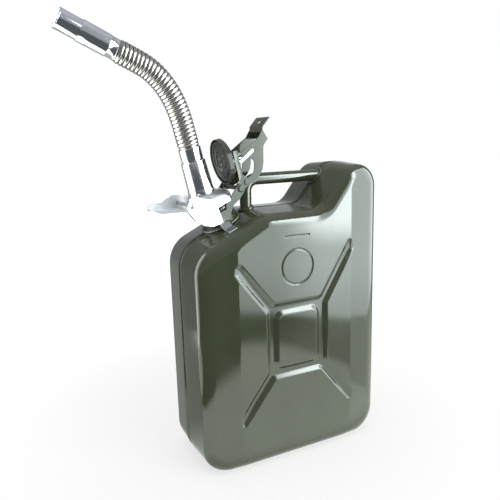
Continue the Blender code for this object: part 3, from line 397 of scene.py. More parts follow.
def enamel(name, waves=1.0, worn=0.0):
    """Gloss olive enamel: faint orange peel, slow waves, smears, thin dust and, if worn, bare edges."""
    look = bpy.context.scene.jerry_look
    s = Shader(name)
    place = s.place()
    cloud = s.noise(place, 13.0, 3.0)
    smear = s.step(s.noise(s.stretched(place, (1.0, 1.0, 0.3)), 42.0, 4.0, 0.6, 0.8), 0.52, 0.78)
    speck = s.step(s.noise(place, 900.0, 2.0), 0.66, 0.74)
    upward = s.part(s.node("ShaderNodeNewGeometry", output="Normal"), 2)
    settled = s.step(upward, 0.5, 0.95) * s.step(s.noise(place, 60.0, 4.0, 0.65), 0.35, 0.75)
    colour = s.mixed(s.step(cloud, 0.3, 0.7), look.enamel, tinted(look.enamel, 1.22))
    colour = s.mixed(settled * 0.16 + speck * 0.10, colour, look.dust)
    rough = 0.075 + s.step(cloud, 0.35, 0.7) * 0.035 + smear * 0.07 + settled * 0.12
    metallic = 0.0
    if worn:
        pointed = s.node("ShaderNodeNewGeometry", output="Pointiness")
        rubbed = s.step(pointed + (s.noise(place, 260.0, 3.0) - 0.5) * 0.10, 0.56, 0.63) * worn
        colour = s.mixed(rubbed, colour, (0.30, 0.30, 0.28))
        rough = rough + rubbed * 0.15
        metallic = rubbed * 0.8
    wave = s.bump(s.noise(place, 7.5, 1.0), look.waviness * waves)
    peel = s.bump(s.noise(place, 520.0, 2.0), 0.00001, 0.25, wave)
    return s.surface(colour, {"Roughness": rough, "Metallic": metallic, "IOR": 1.55, "Normal": peel})


def bare_struts(name):
    """The yoke's enamel, with the two struts that back the lever left in bright metal."""
    foot = cap_frame @ Vector((-strut_foot, 0, strut_level))
    way = (cap_frame.to_3x3() @ Vector((-math.sin(strut_lean), 0, math.cos(strut_lean)))).normalized()
    s = Shader(name, enamel(name, 0.0, 0.5), keep=True)
    beside = s.vector_maths("SUBTRACT", s.place(), foot)
    across = s.maths("ABSOLUTE", s.along(beside, way.cross(Vector((0, 1, 0)))), 0.0)
    bare = s.step(s.along(beside, way), 0.006, 0.008) * s.step(across, 0.0030, 0.0024)
    return s.covered(bare, (0.74, 0.75, 0.76), 0.22)


def rubbed_lugs(name):
    """The brackets' enamel, rubbed through to grey metal in dense blotches over their feet."""
    s = Shader(name, enamel(name, 0.0, 0.5), keep=True)
    place = s.place()
    blotches = s.step(s.noise(place, 95.0, 3.0, 0.6), 0.38, 0.47, 0.0, 0.9)
    share = blotches * s.step(s.part(place, 2), 0.339, 0.335)
    for _ in range(2):
        s.covered(share, (0.34, 0.37, 0.37), 0.38)
    return s.owner


def plated(name, base_rough=0.10, waves=1.0):
    """Bright plated steel: slow unevenness, drawing marks along it and a patchy bloom."""
    look = bpy.context.scene.jerry_look
    s = Shader(name)
    place = s.place()
    drawn = s.noise(s.stretched(place, (1.0, 1.0, 0.06)), 900.0, 3.0, 0.6)
    grain = s.noise(place, 1400.0, 2.0)
    patch = s.step(s.noise(place, 34.0, 4.0, 0.6), 0.42, 0.68)
    tint = s.mixed(patch * 0.48, look.plate, tinted(look.plate, 0.72))
    rough = base_rough + patch * 0.12 + s.step(drawn, 0.45, 0.75) * 0.06
    uneven = s.bump(s.noise(place, 70.0, 2.0), 0.0004 * waves, 0.6)
    fine = s.bump(drawn * 0.6 + grain * 0.4, 0.00002, 0.5, uneven)
    return s.surface(tint, {"Roughness": rough, "Metallic": 1.0, "Normal": fine})


def hose_steel(name):
    """The wound strip: bright on its crests, with painted shade darkening it to brown-black down in the turns.
    """
    s = Shader(name)
    place = s.place()
    crest = s.step(s.node("ShaderNodeNewGeometry", output="Pointiness"), 0.46, 0.57)
    # painted shade: the dark brown-black colour in the turns between the crests stands for the shade in the
    # hose's grooves
    tint = s.mixed(crest, (0.050, 0.038, 0.032), bpy.context.scene.jerry_look.hose)
    rough = 0.15 + s.step(s.noise(place, 90.0, 3.0), 0.4, 0.7) * 0.10 + (1 - crest) * 0.25
    fine = s.bump(s.noise(place, 1100.0, 2.0), 0.00002, 0.5)
    return s.surface(tint, {"Roughness": rough, "Metallic": 1.0, "Normal": fine})


def rubber(name, middle=None):
    """Moulded black rubber: matt, faintly blooming, with a fine skin; olive gloss within a pad's middle."""
    look = bpy.context.scene.jerry_look
    s = Shader(name)
    place = s.place()
    bloom = s.step(s.noise(place, 120.0, 4.0, 0.6), 0.4, 0.75)
    tint = s.mixed(bloom * 0.5, look.rubber, tinted(look.rubber, 2.4))
    skin = s.bump(s.noise(place, 1500.0, 3.0), 0.00004, 0.6)
    rough = 0.38 + bloom * 0.18
    if middle:
        inner = s.step(s.distance(place, middle), seal_middle + 0.0015, seal_middle)
        tint = s.mixed(inner, tint, tinted(look.enamel, 0.8))
        rough = rough - inner * 0.20
    return s.surface(tint, {"Roughness": rough, "Normal": skin})


# Outlines

def vectors(points):
    return [Vector(point) for point in points]


def edge_line(start, end, inset):
    along = (end - start).normalized()
    normal = Vector((-along.y, along.x))
    return normal, normal.dot(start) + inset


def offset_corners(corners, insets):
    moved = []
    for i, corner in enumerate(corners):
        normal_a, reach_a = edge_line(corners[i - 1], corner, insets[i - 1])
        normal_b, reach_b = edge_line(corner, corners[(i + 1) % len(corners)], insets[i])
        moved.append(Matrix((normal_a, normal_b)).inverted() @ Vector((reach_a, reach_b)))
    return moved


def corner_arc(before, corner, after, radius, steps):
    back = (before - corner).normalized()
    ahead = (after - corner).normalized()
    half = back.angle(ahead) / 2
    centre = corner + (back + ahead).normalized() * (radius / math.sin(half))
    first = corner + back * (radius / math.tan(half)) - centre
    last = corner + ahead * (radius / math.tan(half)) - centre
    turn = math.atan2(first.x * last.y - first.y * last.x, first.dot(last))
    return [centre + Matrix.Rotation(turn * k / steps, 2) @ first for k in range(steps + 1)]


def rounded(corners, radii, steps, runs=1):
    """A closed outline with rounded corners and its straight runs cut into equal parts."""
    count = len(corners)
    reaches = []
    for i, corner in enumerate(corners):
        angle = (corners[i - 1] - corner).angle(corners[(i + 1) % count] - corner)
        reaches.append(radii[i] / math.tan(angle / 2))
    fits = []
    for i, corner in enumerate(corners):
        length = (corners[(i + 1) % count] - corner).length
        fits.append(min(1.0, 0.98 * length / (reaches[i] + reaches[(i + 1) % count])))
    arcs = []
    for i, corner in enumerate(corners):
        radius = radii[i] * min(fits[i - 1], fits[i])
        arcs.append(corner_arc(corners[i - 1], corner, corners[(i + 1) % count], radius, steps))
    outline = []
    for i, arc in enumerate(arcs):
        outline.extend(arc)
        following = arcs[(i + 1) % count][0]
        outline.extend(arc[-1].lerp(following, k / runs) for k in range(1, runs))
    return outline


def box_corners(half_width, half_height):
    return vectors([(-half_width, -half_height), (half_width, -half_height),
                    (half_width, half_height), (-half_width, half_height)])


def moved(outline, x, z):
    return [point + Vector((x, z)) for point in outline]


def soft(share):
    """An eased rise from 0 to 1, flat beyond both ends."""
    share = min(1.0, max(0.0, share))
    return share * share * (3 - 2 * share)


def turns(count):
    """Even angles round a circle."""
    return [math.tau * k / count for k in range(count)]


# Meshes

def add_loop(bm, points):
    return [bm.verts.new(point) for point in points]


def bridge(bm, first, second):
    """Faces between two rings of equal count, or between a ring and a single point."""
    if len(first) < len(second):
        first, second = second, first
    count = len(first)
    for i in range(count if count > 1 else 0):
        j = (i + 1) % count
        ends = second if len(second) == 1 else (second[j], second[i])
        bm.faces.new((first[i], first[j], *ends))


def lofted(bm, rings, closed=False):
    """Faces between rings in turn, capped at both ends or joined back to the first."""
    loops = [add_loop(bm, ring) for ring in rings]
    for first, second in zip(loops, loops[1:]):
        bridge(bm, first, second)
    if closed:
        bridge(bm, loops[-1], loops[0])
    else:
        bm.faces.new(loops[0])
        bm.faces.new(reversed(loops[-1]))


def smooth_piece(name, bm, finish):
    mesh = bpy.data.meshes.new(name)
    bm.to_mesh(mesh)
    bm.free()
    mesh.shade_smooth()
    mesh.materials.append(finish)
    piece = bpy.data.objects.new(name, mesh)
    bpy.context.scene.collection.objects.link(piece)
    return piece


def piece_from(name, bm, finish, crease=35.0):
    """A piece with its faces turned outward and its edges past the crease angle sharp."""
    bmesh.ops.recalc_face_normals(bm, faces=bm.faces)
    piece = smooth_piece(name, bm, finish)
    piece.data.set_sharp_from_angle(angle=math.radians(crease))
    return piece


def ringed(name, rings, finish, crease=35.0, closed=True):
    bm = bmesh.new()
    lofted(bm, rings, closed)
    return piece_from(name, bm, finish, crease)


def even_normals(piece):
    shading = piece.modifiers.new("even_normals", "WEIGHTED_NORMAL")
    shading.keep_sharp = True
    return piece


def settle(piece, body, *nodes):
    """Ride on a body and stand for the nodes named."""
    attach(piece, body)
    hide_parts(*nodes)
    return piece


def edged(node, body, finish, width=None):
    """A node's own shape with its sharp edges worn round."""
    bm = bmesh.new()
    bm.from_mesh(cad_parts[node].data)
    bmesh.ops.remove_doubles(bm, verts=bm.verts, dist=same_place)
    bmesh.ops.dissolve_limit(bm, angle_limit=math.radians(0.5), verts=bm.verts, edges=bm.edges)
    piece = piece_from(node + "_edged", bm, finish, 40.0)
    worn = piece.modifiers.new("worn_edges", "BEVEL")
    worn.width = width or bpy.context.scene.jerry_look.rounding
    worn.segments = 2
    worn.limit_method = "ANGLE"
    worn.angle_limit = math.radians(40)
    return settle(even_normals(piece), body, node)


def softened(profile, radius, steps=3):
    """A turned piece's profile with its corners off the axis rounded."""
    points = vectors(profile)
    made = []
    for i, point in enumerate(points):
        before, after = points[i - 1], points[(i + 1) % len(points)]
        angle = (before - point).angle(after - point)
        if point.x < clearance / 100 or angle > math.radians(175):
            made.append(point)
            continue
        room = min((before - point).length, (after - point).length) * 0.48 * math.tan(angle / 2)
        made.extend(corner_arc(before, point, after, min(radius, room), steps))
    return made


def turned(name, profile, steps, place, finish, crease=35.0, change=None):
    """Revolve a closed profile of radius and height; change may move a point by its angle."""
    rings = []
    for radius, height in profile:
        ring = []
        for angle in turns(steps if radius >= clearance / 100 else 1):
            r, h = change(radius, height, angle) if change else (radius, height)
            ring.append(place @ Vector((r * math.cos(angle), r * math.sin(angle), h)))
        rings.append(ring)
    return ringed(name, rings, finish, crease)


def swept(route, sides, radius_at):
    """Rings along a route in the X-Z plane; radius_at takes the share along it and the angle."""
    rings = []
    last = len(route) - 1
    for i, point in enumerate(route):
        ahead = (route[min(i + 1, last)] - route[max(i - 1, 0)]).normalized()
        side = Vector((ahead.y, -ahead.x))
        ring = []
        for angle in turns(sides):
            radius = radius_at(i / last, angle)
            flat = point + side * (radius * math.cos(angle))
            ring.append((flat.x, radius * math.sin(angle), flat.y))
        rings.append(ring)
    return rings


def bead_ring(name, place, finish, radius, thickness, ripples, tilt=0.0):
    """A weld bead round a tube, with the ripples of its run; tilt follows a slanted skin."""
    parts, sides = 5, 10
    rings = []
    for k, angle in enumerate(turns(ripples * parts)):
        swell = 1.0 + 0.10 * math.cos(math.tau * (k % parts) / parts) + 0.05 * math.sin(angle * 7)
        out = Vector((math.cos(angle), math.sin(angle), math.cos(angle) * math.tan(tilt)))
        ring = []
        for turn in turns(sides):
            rise = Vector((0, 0, thickness * swell * math.sin(turn)))
            ring.append(place @ (out * (radius + thickness * swell * math.cos(turn)) + rise))
        rings.append(ring)
    return ringed(name, rings, finish, 60.0)


def tipped(place, lean):
    """A frame at a place, turned clockwise as seen from the front."""
    return Matrix.Translation(place) @ Matrix.Rotation(lean, 4, "Y")


neck_frame = tipped(neck_base, -slope)
cap_frame = neck_frame @ tipped((hinge_reach, 0, hinge_height), cap_open)
tube_frame = neck_frame @ tipped((dome_shift, 0, dome_top_height), spout_lean)
nozzle_frame = tipped((hose_end.x, 0, hose_end.y), nozzle_rise - math.pi / 2)


# The can's two halves

def can_outline(wall_inset, face_inset, steps=arc_steps, runs=8):
    """The can's outline moved in; the base keeps its height where the walls draft inwards."""
    half = can_width / 2
    corners = vectors([(-half, 0), (half, 0), (half, hump_height), (hump_left, hump_height),
                       (valley_right, valley_height), (valley_left, valley_height), (-half, shoulder_height)])
    insets = [face_inset if edge == 0 else wall_inset + face_inset for edge in range(7)]
    inset = wall_inset + face_inset
    radii = [base_radius - inset, base_radius - inset, hump_outer_radius - inset, hump_inner_radius - inset,
             valley_radius + inset, crest_radius - inset, shoulder_radius - inset]
    return rounded(offset_corners(corners, insets), radii, steps, runs)


def panel_drop(x):
    """How far the face falls back beside its flat middle panel, with a short blend at the fold."""
    past = abs(x) - panel_half_width
    if past <= -fold_blend:
        return 0.0
    if past >= fold_blend:
        return panel_fall * past
    return panel_fall * (past + fold_blend) ** 2 / (4 * fold_blend)


def shell_rings():
    """Rings from the seam edge out to the rim of the face, and the rim's outline."""
    wall_end = can_depth / 2 - face_radius
    sections = [(0.0, seam_depth, clearance / 2, 0.0), (0.0, seam_depth, seam_floor, 0.0),
                (0.0, seam_depth * 0.94, seam_half_width, 0.0)]
    for k in range(1, 5):
        share = k / 4
        sections.append((0.0, seam_depth * (1 - soft(share)), seam_half_width + seam_shoulder * share, 0.0))
    for k in range(1, 4):
        share = k / 4
        start = seam_half_width + seam_shoulder
        sections.append((wall_draft * share, 0.0, start + (wall_end - start) * share, 0.0))
    for k in range(arc_steps + 1):
        turn = math.pi / 2 * k / arc_steps
        sections.append((wall_draft, face_radius * (1 - math.cos(turn)),
                         wall_end + face_radius * math.sin(turn), math.sin(turn)))
    rings = []
    for wall_inset, face_inset, y, fall in sections:
        outline = can_outline(wall_inset, face_inset)
        rings.append([(p.x, panel_drop(p.x) * fall - y, p.y) for p in outline])
    return rings, outline


def arm_corners(rise):
    """One arm of the pressed cross, up to the right: lower root and tip, upper tip and root."""
    side = plateau_half_width + channel_width
    top = plateau_half_height + channel_width
    low_root = Vector((side, arm_root_height))
    low_tip = Vector((arm_reach, rise))
    along = (low_tip - low_root).normalized()
    across = Vector((-along.y, along.x))
    gap = arm_width - (top - low_root.y) * across.y
    high_root = Vector((side + gap / across.x, top))
    high_tip = high_root + along * ((low_tip.x * arm_cut - high_root.x) / along.x)
    return [low_root, low_tip, high_tip, high_root]


def figure_corners():
    """The pressed cross about its centre, counter-clockwise; the arm below the hump is the longest."""
    arm = arm_corners(arm_rise)
    across = [Vector((-point.x, point.y)) for point in reversed(arm)]
    return arm_corners(hump_arm_rise) + across + [-point for point in arm + across]


def sloped(share):
    """A straight slope from 0 to 1 whose ends are rounded, flat beyond them."""
    share = min(1.0, max(0.0, share))
    steep = 1 / (1 - bevel_rounding)
    if share < bevel_rounding:
        return steep * share ** 2 / (2 * bevel_rounding)
    if share > 1 - bevel_rounding:
        return 1 - steep * (1 - share) ** 2 / (2 * bevel_rounding)
    return steep * (share - bevel_rounding / 2)


def relief_loops():
    """Closed loops of the face's relief, each with its depth, close together where the sheet bends."""
    cross = figure_corners()
    loops = []
    bends = 9
    for k in range(-1, bends + 2):
        inset = channel_bevel * k / bends
        tip, root = max(arm_tip_radius - inset, smallest_radius), panel_corner_radius + inset
        root = max(root, smallest_radius)
        corners = offset_corners(cross, [inset] * len(cross))
        plateau = box_corners(plateau_half_width + inset, plateau_half_height + inset)
        for outline in (rounded(corners, [root, tip, tip, root] * 4, 8, 6),
                        rounded(plateau, [plateau_radius + inset] * 4, 8, 6)):
            loops.append((moved(outline, 0.0, figure_height), channel_depth * sloped(k / bends)))
    for k in range(-4, 5):
        radius = ring_radius + mark_width / 2 * k / 3
        ring = [Vector((radius * math.cos(angle), ring_height + radius * math.sin(angle)))
                for angle in turns(circle_steps)]
        loops.append((ring, mark_depth * soft(1 - abs(k) / 3)))
    for k in range(-1, 4):
        shrink = mark_width / 2 * 0.88 * k / 3
        bar = box_corners(bar_length / 2 - shrink, mark_width / 2 - shrink)
        outline = rounded(bar, [(mark_width / 2 - shrink) * 0.9] * 4, 4, 5)
        loops.append((moved(outline, 0.0, bar_height), mark_depth * soft(k / 3)))
    return loops


def fold_points(taken):
    """Points along the folds beside the middle panel, clear of the relief."""
    points = []
    for side in (-1, 1):
        for step in range(130):
            z = fold_end + step * fold_pitch
            for off in (-fold_blend, 0.0, fold_blend):
                x = side * (panel_half_width + off)
                top = shoulder_height + (x + can_width / 2) * math.tan(slope) if side < 0 else hump_height
                if z > top - fold_end:
                    continue
                if all(abs(x - p.x) > fold_pitch or abs(z - p.y) > fold_pitch for p in taken):
                    points.append(Vector((x, z)))
    return points


def fill_face(bm, outline, rim):
    """Fill the face inside its rim with the pressed relief, as one constrained triangulation."""
    points = list(outline)
    depths = [0.0] * len(points)
    edges = [(i, (i + 1) % len(points)) for i in range(len(points))]
    for loop, depth in relief_loops():
        start = len(points)
        points.extend(loop)
        depths.extend([depth] * len(loop))
        edges.extend((start + i, start + (i + 1) % len(loop)) for i in range(len(loop)))
    near = [p for p in points[len(rim):] if abs(abs(p.x) - panel_half_width) < 2 * fold_pitch]
    extra = fold_points(near)
    points.extend(extra)
    depths.extend([0.0] * len(extra))
    coords, _, faces, sources, _, _ = delaunay_2d_cdt(points, edges, [], 1, clearance / 100)
    verts = []
    for coord, source in zip(coords, sources):
        if source and source[0] < len(rim):
            verts.append(rim[source[0]])
            continue
        fade = 1 - tip_fade * soft((abs(coord.x) / arm_reach - tip_start) / (1 - tip_start))
        depth = can_depth / 2 - (depths[source[0]] * fade if source else 0.0) - panel_drop(coord.x)
        verts.append(bm.verts.new((coord.x, -depth, coord.y)))
    for face in faces:
        bm.faces.new([verts[i] for i in face])


def can_half(name, side, finish):
    """One deep-drawn half: seam edge, drafted wall, rounded rim and the pressed face."""
    bm = bmesh.new()
    rings, outline = shell_rings()
    loops = [add_loop(bm, ring) for ring in rings]
    for first, second in zip(loops, loops[1:]):
        bridge(bm, first, second)
    fill_face(bm, outline, loops[-1])
    if side > 0:
        bmesh.ops.scale(bm, verts=bm.verts, vec=(1, -1, 1))
    bmesh.ops.recalc_face_normals(bm, faces=bm.faces)
    middle = Vector((0, 0, figure_height))
    outward = sum((face.calc_center_median() - middle).dot(face.normal) * face.calc_area() for face in bm.faces)
    if outward < 0:
        bmesh.ops.reverse_faces(bm, faces=bm.faces)
    return even_normals(smooth_piece(name, bm, finish))


def seam_points():
    """Even points round the seam, and whether the neck or the handle is welded over each."""
    outline = can_outline(0.0, 0.0, 60, 200)
    points = []
    stops = []
    reach = 0.0
    for before, point in zip(outline, outline[1:] + outline[:1]):
        reach += (point - before).length
        if reach < weld_pitch:
            continue
        reach = 0.0
        world = Vector((point.x, 0, point.y))
        at_neck = (neck_frame.inverted() @ world).to_2d().length < neck_radius + weld_room
        at_post = abs(point.x - handle_post) < handle_radius + weld_room / 2 and point.y > shoulder_height
        at_hump = (world - hump_end).length < handle_radius + weld_room
        points.append(point)
        stops.append(at_neck or at_post or at_hump)
    return points, stops


def seam_bead(name, finish):
    """The weld run in the groove, rippled, and left out where the neck and the handle are welded on."""
    points, stops = seam_points()
    count = len(points)
    start = next(i for i in range(count) if stops[i - 1] and not stops[i])
    bm = bmesh.new()
    run = []
    for k in range(count + 1):
        i = (start + k) % count
        if stops[i] or k == count:
            if len(run) > 2:
                lofted(bm, run)
            run = []
            continue
        ahead = (points[(i + 1) % count] - points[i - 1]).normalized()
        inward = Vector((-ahead.y, ahead.x))
        swell = 0.82 + 0.18 * math.cos(math.tau * (k % 3) / 3)
        ring = []
        for m in range(8):
            turn = math.pi * m / 7
            rise = seam_depth * 0.62 * swell * math.sin(turn)
            flat = points[i] + inward * (seam_depth + 0.0002 - rise)
            ring.append((flat.x, seam_floor * math.cos(turn), flat.y))
        run.append(ring)
    return piece_from(name, bm, finish, 60.0)


# Stage and camera

def area_light(name, place, width, radiance):
    """A soft square panel whose power gives the radiance asked for, unseen by camera and reflections."""
    light = bpy.data.lights.new(name, "AREA")
    light.size = width
    light.energy = radiance * math.pi * width ** 2
    lamp = bpy.data.objects.new(name, light)
    lamp.location = place
    lamp.rotation_euler = (lamps_aim - Vector(place)).to_track_quat("-Z", "Y").to_euler()
    lamp.visible_camera = False
    lamp.visible_glossy = False
    bpy.context.scene.collection.objects.link(lamp)


def flat_piece(name, half_width, half_height, finish):
    bm = bmesh.new()
    bm.faces.new(add_loop(bm, [point.to_3d() for point in box_corners(half_width, half_height)]))
    return piece_from(name, bm, finish)


def mirrored_card(name, place, heading, size, finish):
    """An upright card that only reflections show."""
    card = flat_piece(name, size[0] / 2, size[1] / 2, finish)
    card.location = place
    card.rotation_euler = (math.radians(90), 0, heading)
    card.visible_camera = False
    card.visible_diffuse = False
    card.visible_shadow = False


def side_finish(name):
    """A pale card at the left, soft at its sides, for the light along the can's rounded edge."""
    s = Shader(name)
    along = s.part(s.place(), 0)
    level = s.step(along, -0.50, -0.11) * s.step(along, 0.23, 0.13)
    return s.finished(s.blended(level, s.emission((1.0, 1.0, 1.0), 0.4), s.emission((0.96, 1.0, 0.98), 6.0)))


def window_finish(name):
    """A tall window that brightens to the right and fades out softly at its lower edge."""
    s = Shader(name)
    place = s.place()
    along = s.part(place, 0) + 0.125
    upward = s.part(place, 1) + 0.02
    glow = s.step(along, -0.27, -0.13, 0.64, 1.0) * s.step(along, -0.06, 0.09, 1.0, 0.78)
    high = s.step(along, -0.26, -0.13) * s.step(along, 0.09, -0.06) * s.step(upward, -0.29, -0.21)
    level = glow * s.step(upward, -0.46, -0.30, 0.72, 1.0) * (0.41 + high * 0.57)
    level = level * s.step(along, -0.43, -0.41) * s.step(upward, -0.478, -0.446)
    tint = (0.9, 1.0, 1.0)
    bright = s.emission(tint, bpy.context.scene.jerry_stage.window / window_mean)
    return s.finished(s.blended(level, s.emission(tint, 0.1), bright))


def floor_finish(name):
    """A pale floor, white to the camera with the shadow kept, whose lit parts show in reflections."""
    stage = bpy.context.scene.jerry_stage
    s = Shader(name)
    place = s.place()
    reach = s.distance(place, origin)
    rightward = s.part(place, 0)
    forward = 0 - s.part(place, 1)
    turn = stage.near_heading
    ahead = s.along(place, Vector((math.sin(turn), -math.cos(turn), 0.0)) / stage.near_reach)
    aside = s.along(place, Vector((math.cos(turn), math.sin(turn), 0.0)) / stage.near_half)
    near = s.step(ahead * ahead + aside * aside, 1.24, 0.86)
    near = s.maths("MAXIMUM", near, s.step(reach, 0.35, 0.32) * s.step(rightward, 0.05, -0.05))
    clear = s.maths("MAXIMUM", forward, 0 - rightward - can_width / 4)
    near = near * s.step(clear, 0.06, 0.11, 0.55, 1.0)
    swung = s.along(place, (0.9, 1.0, 0.0))
    right = s.step(swung, -0.36, -0.16, 0.0, 0.38) + s.step(swung, -0.04, 0.04) * 0.3
    front = s.step(forward, -0.1, 0.1)
    level = s.maths("MAXIMUM", near, right) * front + (1 - front) * 0.17
    beside = s.stretched(s.vector_maths("SUBTRACT", place, lit_patch), (6.2, 2.8, 0.0))
    level = s.maths("MAXIMUM", level, s.step(s.distance(beside, origin), 1.08, 0.92))
    lit = s.blended(level, s.emission((0.80, 0.90, 1.0), 0.12), s.emission((0.84, 0.90, 0.82), 2.8))
    diffuse = s.node("ShaderNodeBsdfDiffuse", None, {"Color": solid(stage.floor)})
    seen = s.blended(s.step(reach, 0.2, 0.8, 0.62, 1.0), diffuse, s.emission(stage.floor, 1.37))
    shown = s.blended(s.ray("Camera"), diffuse, seen)
    return s.finished(s.blended(s.maths("MAXIMUM", s.ray("Glossy"), s.ray("Transmission")), shown, lit))


def room_light(world):
    """White to the camera; to reflections a pale backdrop and left side, a grey ceiling and a dark front."""
    s = Shader("room", world)
    way = s.node("ShaderNodeTexCoord", output="Generated")
    sideways, across, upward = (s.part(way, axis) for axis in range(3))
    camera, glossy = s.ray("Camera"), s.ray("Glossy")
    behind = s.step(across, 0.0, 0.5)
    backdrop = behind * s.step(sideways, -0.1, 0.4, 0.34, 0.62)
    left = s.step(0 - sideways, 0.45, 0.8) * 0.50
    ceiling = s.step(upward - behind * 0.30, -0.10, 0.06)
    mirrored = s.maths("MAXIMUM", backdrop, left) * (1 - ceiling)
    mirrored = mirrored + 0.10 + ceiling * s.step(upward, 0.5, 0.9, 0.28, 0.48)
    studio = bpy.context.scene.jerry_stage.studio
    strength = camera + (1 - camera) * (glossy * mirrored + (1 - glossy) * studio)
    tint = s.mixed(glossy, (1.0, 1.0, 1.0), (0.94, 0.97, 1.04))
    made = s.node("ShaderNodeBackground", None, {"Color": tint, "Strength": strength})
    s.node("ShaderNodeOutputWorld", None, {"Surface": made}, None)


class JerryOperator:
    """What all operators share: a place in the undo history."""
    bl_options = {"REGISTER", "UNDO"}


class JERRY_OT_camera(JerryOperator, bpy.types.Operator):
    """Stand the camera at the picture's viewpoint"""
    bl_idname = "jerry.camera"
    bl_label = "Camera"

    def execute(self, context):
        shot = context.scene.jerry_shot
        ahead = Vector((math.sin(shot.heading) * math.cos(shot.pitch),
                        math.cos(shot.heading) * math.cos(shot.pitch), -math.sin(shot.pitch)))
        right = Vector((math.cos(shot.heading), -math.sin(shot.heading), 0))
        above = right.cross(ahead)
        rolled = right * math.cos(shot.roll) + above * math.sin(shot.roll)
        raised = above * math.cos(shot.roll) - right * math.sin(shot.roll)
        lens = bpy.data.cameras.new("camera")
        lens.lens = shot.lens
        lens.sensor_width = 36.0
        camera = bpy.data.objects.new("camera", lens)
        turn = Matrix((rolled, raised, -ahead)).transposed().to_4x4()
        camera.matrix_world = Matrix.Translation(shot.place) @ turn
        context.scene.collection.objects.link(camera)
        context.scene.camera = camera
        return {"FINISHED"}


class JERRY_OT_stage(JerryOperator, bpy.types.Operator):
    """Lay the pale floor and set the room's soft lights"""
    bl_idname = "jerry.stage"
    bl_label = "Floor and lights"

    def execute(self, context):
        stage = context.scene.jerry_stage
        context.scene.view_settings.view_transform = "Standard"
        floor = flat_piece("floor", floor_half, floor_half, floor_finish("floor"))
        floor.location.z = -clearance
        world = bpy.data.worlds.new("room")
        context.scene.world = world
        room_light(world)
        mirrored_card("window", window_place, window_heading, window_size, window_finish("window"))
        area_light("key_light", (0.45, -1.1, 0.9), 0.9, stage.key)
        area_light("overhead_light", (-0.1, 0.1, 1.9), 1.6, stage.overhead)
        mirrored_card("side_card", side_card_place, side_card_heading, side_card_size, side_finish("side_card"))
        return {"FINISHED"}


class JERRY_OT_body(JerryOperator, bpy.types.Operator):
    """Press the can's two halves and run the weld that joins them"""
    bl_idname = "jerry.body"
    bl_label = "Can body"

    def execute(self, context):
        finish = enamel("body_enamel")
        settle(can_half("front_half", -1, finish), "can", "front_shell")
        settle(can_half("rear_half", 1, finish), "can", "rear_shell")
        settle(seam_bead("seam_bead", enamel("weld_enamel", 0.0)), "can", "seam_weld", "seam_weld_valley")
        return {"FINISHED"}


class JERRY_OT_neck(JerryOperator, bpy.types.Operator):
    """Turn the neck with its rolled lip and weld it to the shoulder"""
    bl_idname = "jerry.neck"
    bl_label = "Neck and hinge lugs"

    def execute(self, context):
        bore = neck_radius - neck_wall
        lip = neck_length - lip_height
        profile = [(bore, -neck_inside), (neck_radius, -neck_inside), (neck_radius, 0.0),
                   (neck_radius, lip - lip_taper), (lip_radius, lip), (lip_radius, neck_length),
                   (bore, neck_length)]
        settle(turned("neck_collar", softened(profile, lip_radius - neck_radius), circle_steps, neck_frame,
                      enamel("neck_enamel", 0.0, 0.5)), "can", "neck")
        bead = bead_ring("neck_bead", neck_frame @ Matrix.Translation((0, 0, neck_bead / 3)),
                         enamel("neck_bead_enamel", 0.0), neck_radius + neck_bead / 2, neck_bead, 40)
        settle(bead, "can", "neck_weld")
        rubbed = rubbed_lugs("lug_enamel")
        for node in ("hinge_lug_front", "hinge_lug_rear"):
            edged(node, "can", rubbed)
        edged("hinge_pin", "can", enamel("hinge_pin_enamel", 0.0, 0.6))
        edged("vent_tube", "can", enamel("vent_enamel", 0.0), fine_rounding)
        return {"FINISHED"}


class JERRY_OT_handle(JerryOperator, bpy.types.Operator):
    """Bend the carrying handle and weld both its ends"""
    bl_idname = "jerry.handle"
    bl_label = "Handle"

    def execute(self, context):
        base = valley_height - seam_depth - handle_root
        corners = vectors([(handle_post, base), (handle_post, handle_height),
                           (hump_left + handle_lap, handle_height)])
        arc = corner_arc(*corners, handle_bend, 20)
        route = [corners[0].lerp(arc[0], k / 6) for k in range(6)] + arc
        route += [arc[-1].lerp(corners[2], k / 14) for k in range(1, 15)]
        tube = ringed("carrying_handle", swept(route, 32, lambda share, angle: handle_radius),
                      enamel("handle_enamel", 0.6, 0.2), closed=False)
        settle(tube, "can", "handle")
        weld = enamel("handle_bead_enamel", 0.0)
        foot = tipped((handle_post, 0, valley_height - weld_lift), 0.0)
        for name, place, tilt, node in (
                ("handle_foot_bead", foot, handle_foot_tilt, "handle_weld_front"),
                ("handle_back_bead", tipped(hump_end, math.pi / 2), -flank, "handle_weld_back")):
            bead = bead_ring(name, place, weld, handle_radius + weld_lift, handle_bead, 16, tilt)
            settle(bead, "can", node)
        return {"FINISHED"}


class JERRY_OT_cap(JerryOperator, bpy.types.Operator):
    """Finish the swung-open cap, its seal and its yoke"""
    bl_idname = "jerry.cap"
    bl_label = "Cap"

    def execute(self, context):
        painted = enamel("cap_enamel", 0.0, 0.5)
        edged("cap", "lid", painted)
        edged("cap_yoke", "lid", bare_struts("yoke_enamel"))
        for node, width in (("cap_rivet", None), ("cap_washer", fine_rounding), ("cap_spring", fine_rounding)):
            edged(node, "lid", plated(node + "_plate"), width)
        for node in ("lever_rivet_front", "lever_rivet_rear"):
            edged(node, "lid", painted)
        low = neck_length + clearance - hinge_height
        high = low + seal_thickness
        profile = [(radius, low + rise) for radius, rise in seal_ribs] + [(seal_radius, high), (0, high)]
        place = cap_frame @ Matrix.Translation((-hinge_reach, 0, 0))
        finish = rubber("seal_rubber", place @ Vector((0, 0, low)))
        seal = turned("seal_pad", softened(profile, seal_rounding, 2), circle_steps, place, finish, 60.0)
        settle(seal, "lid", "cap_seal")
        return {"FINISHED"}


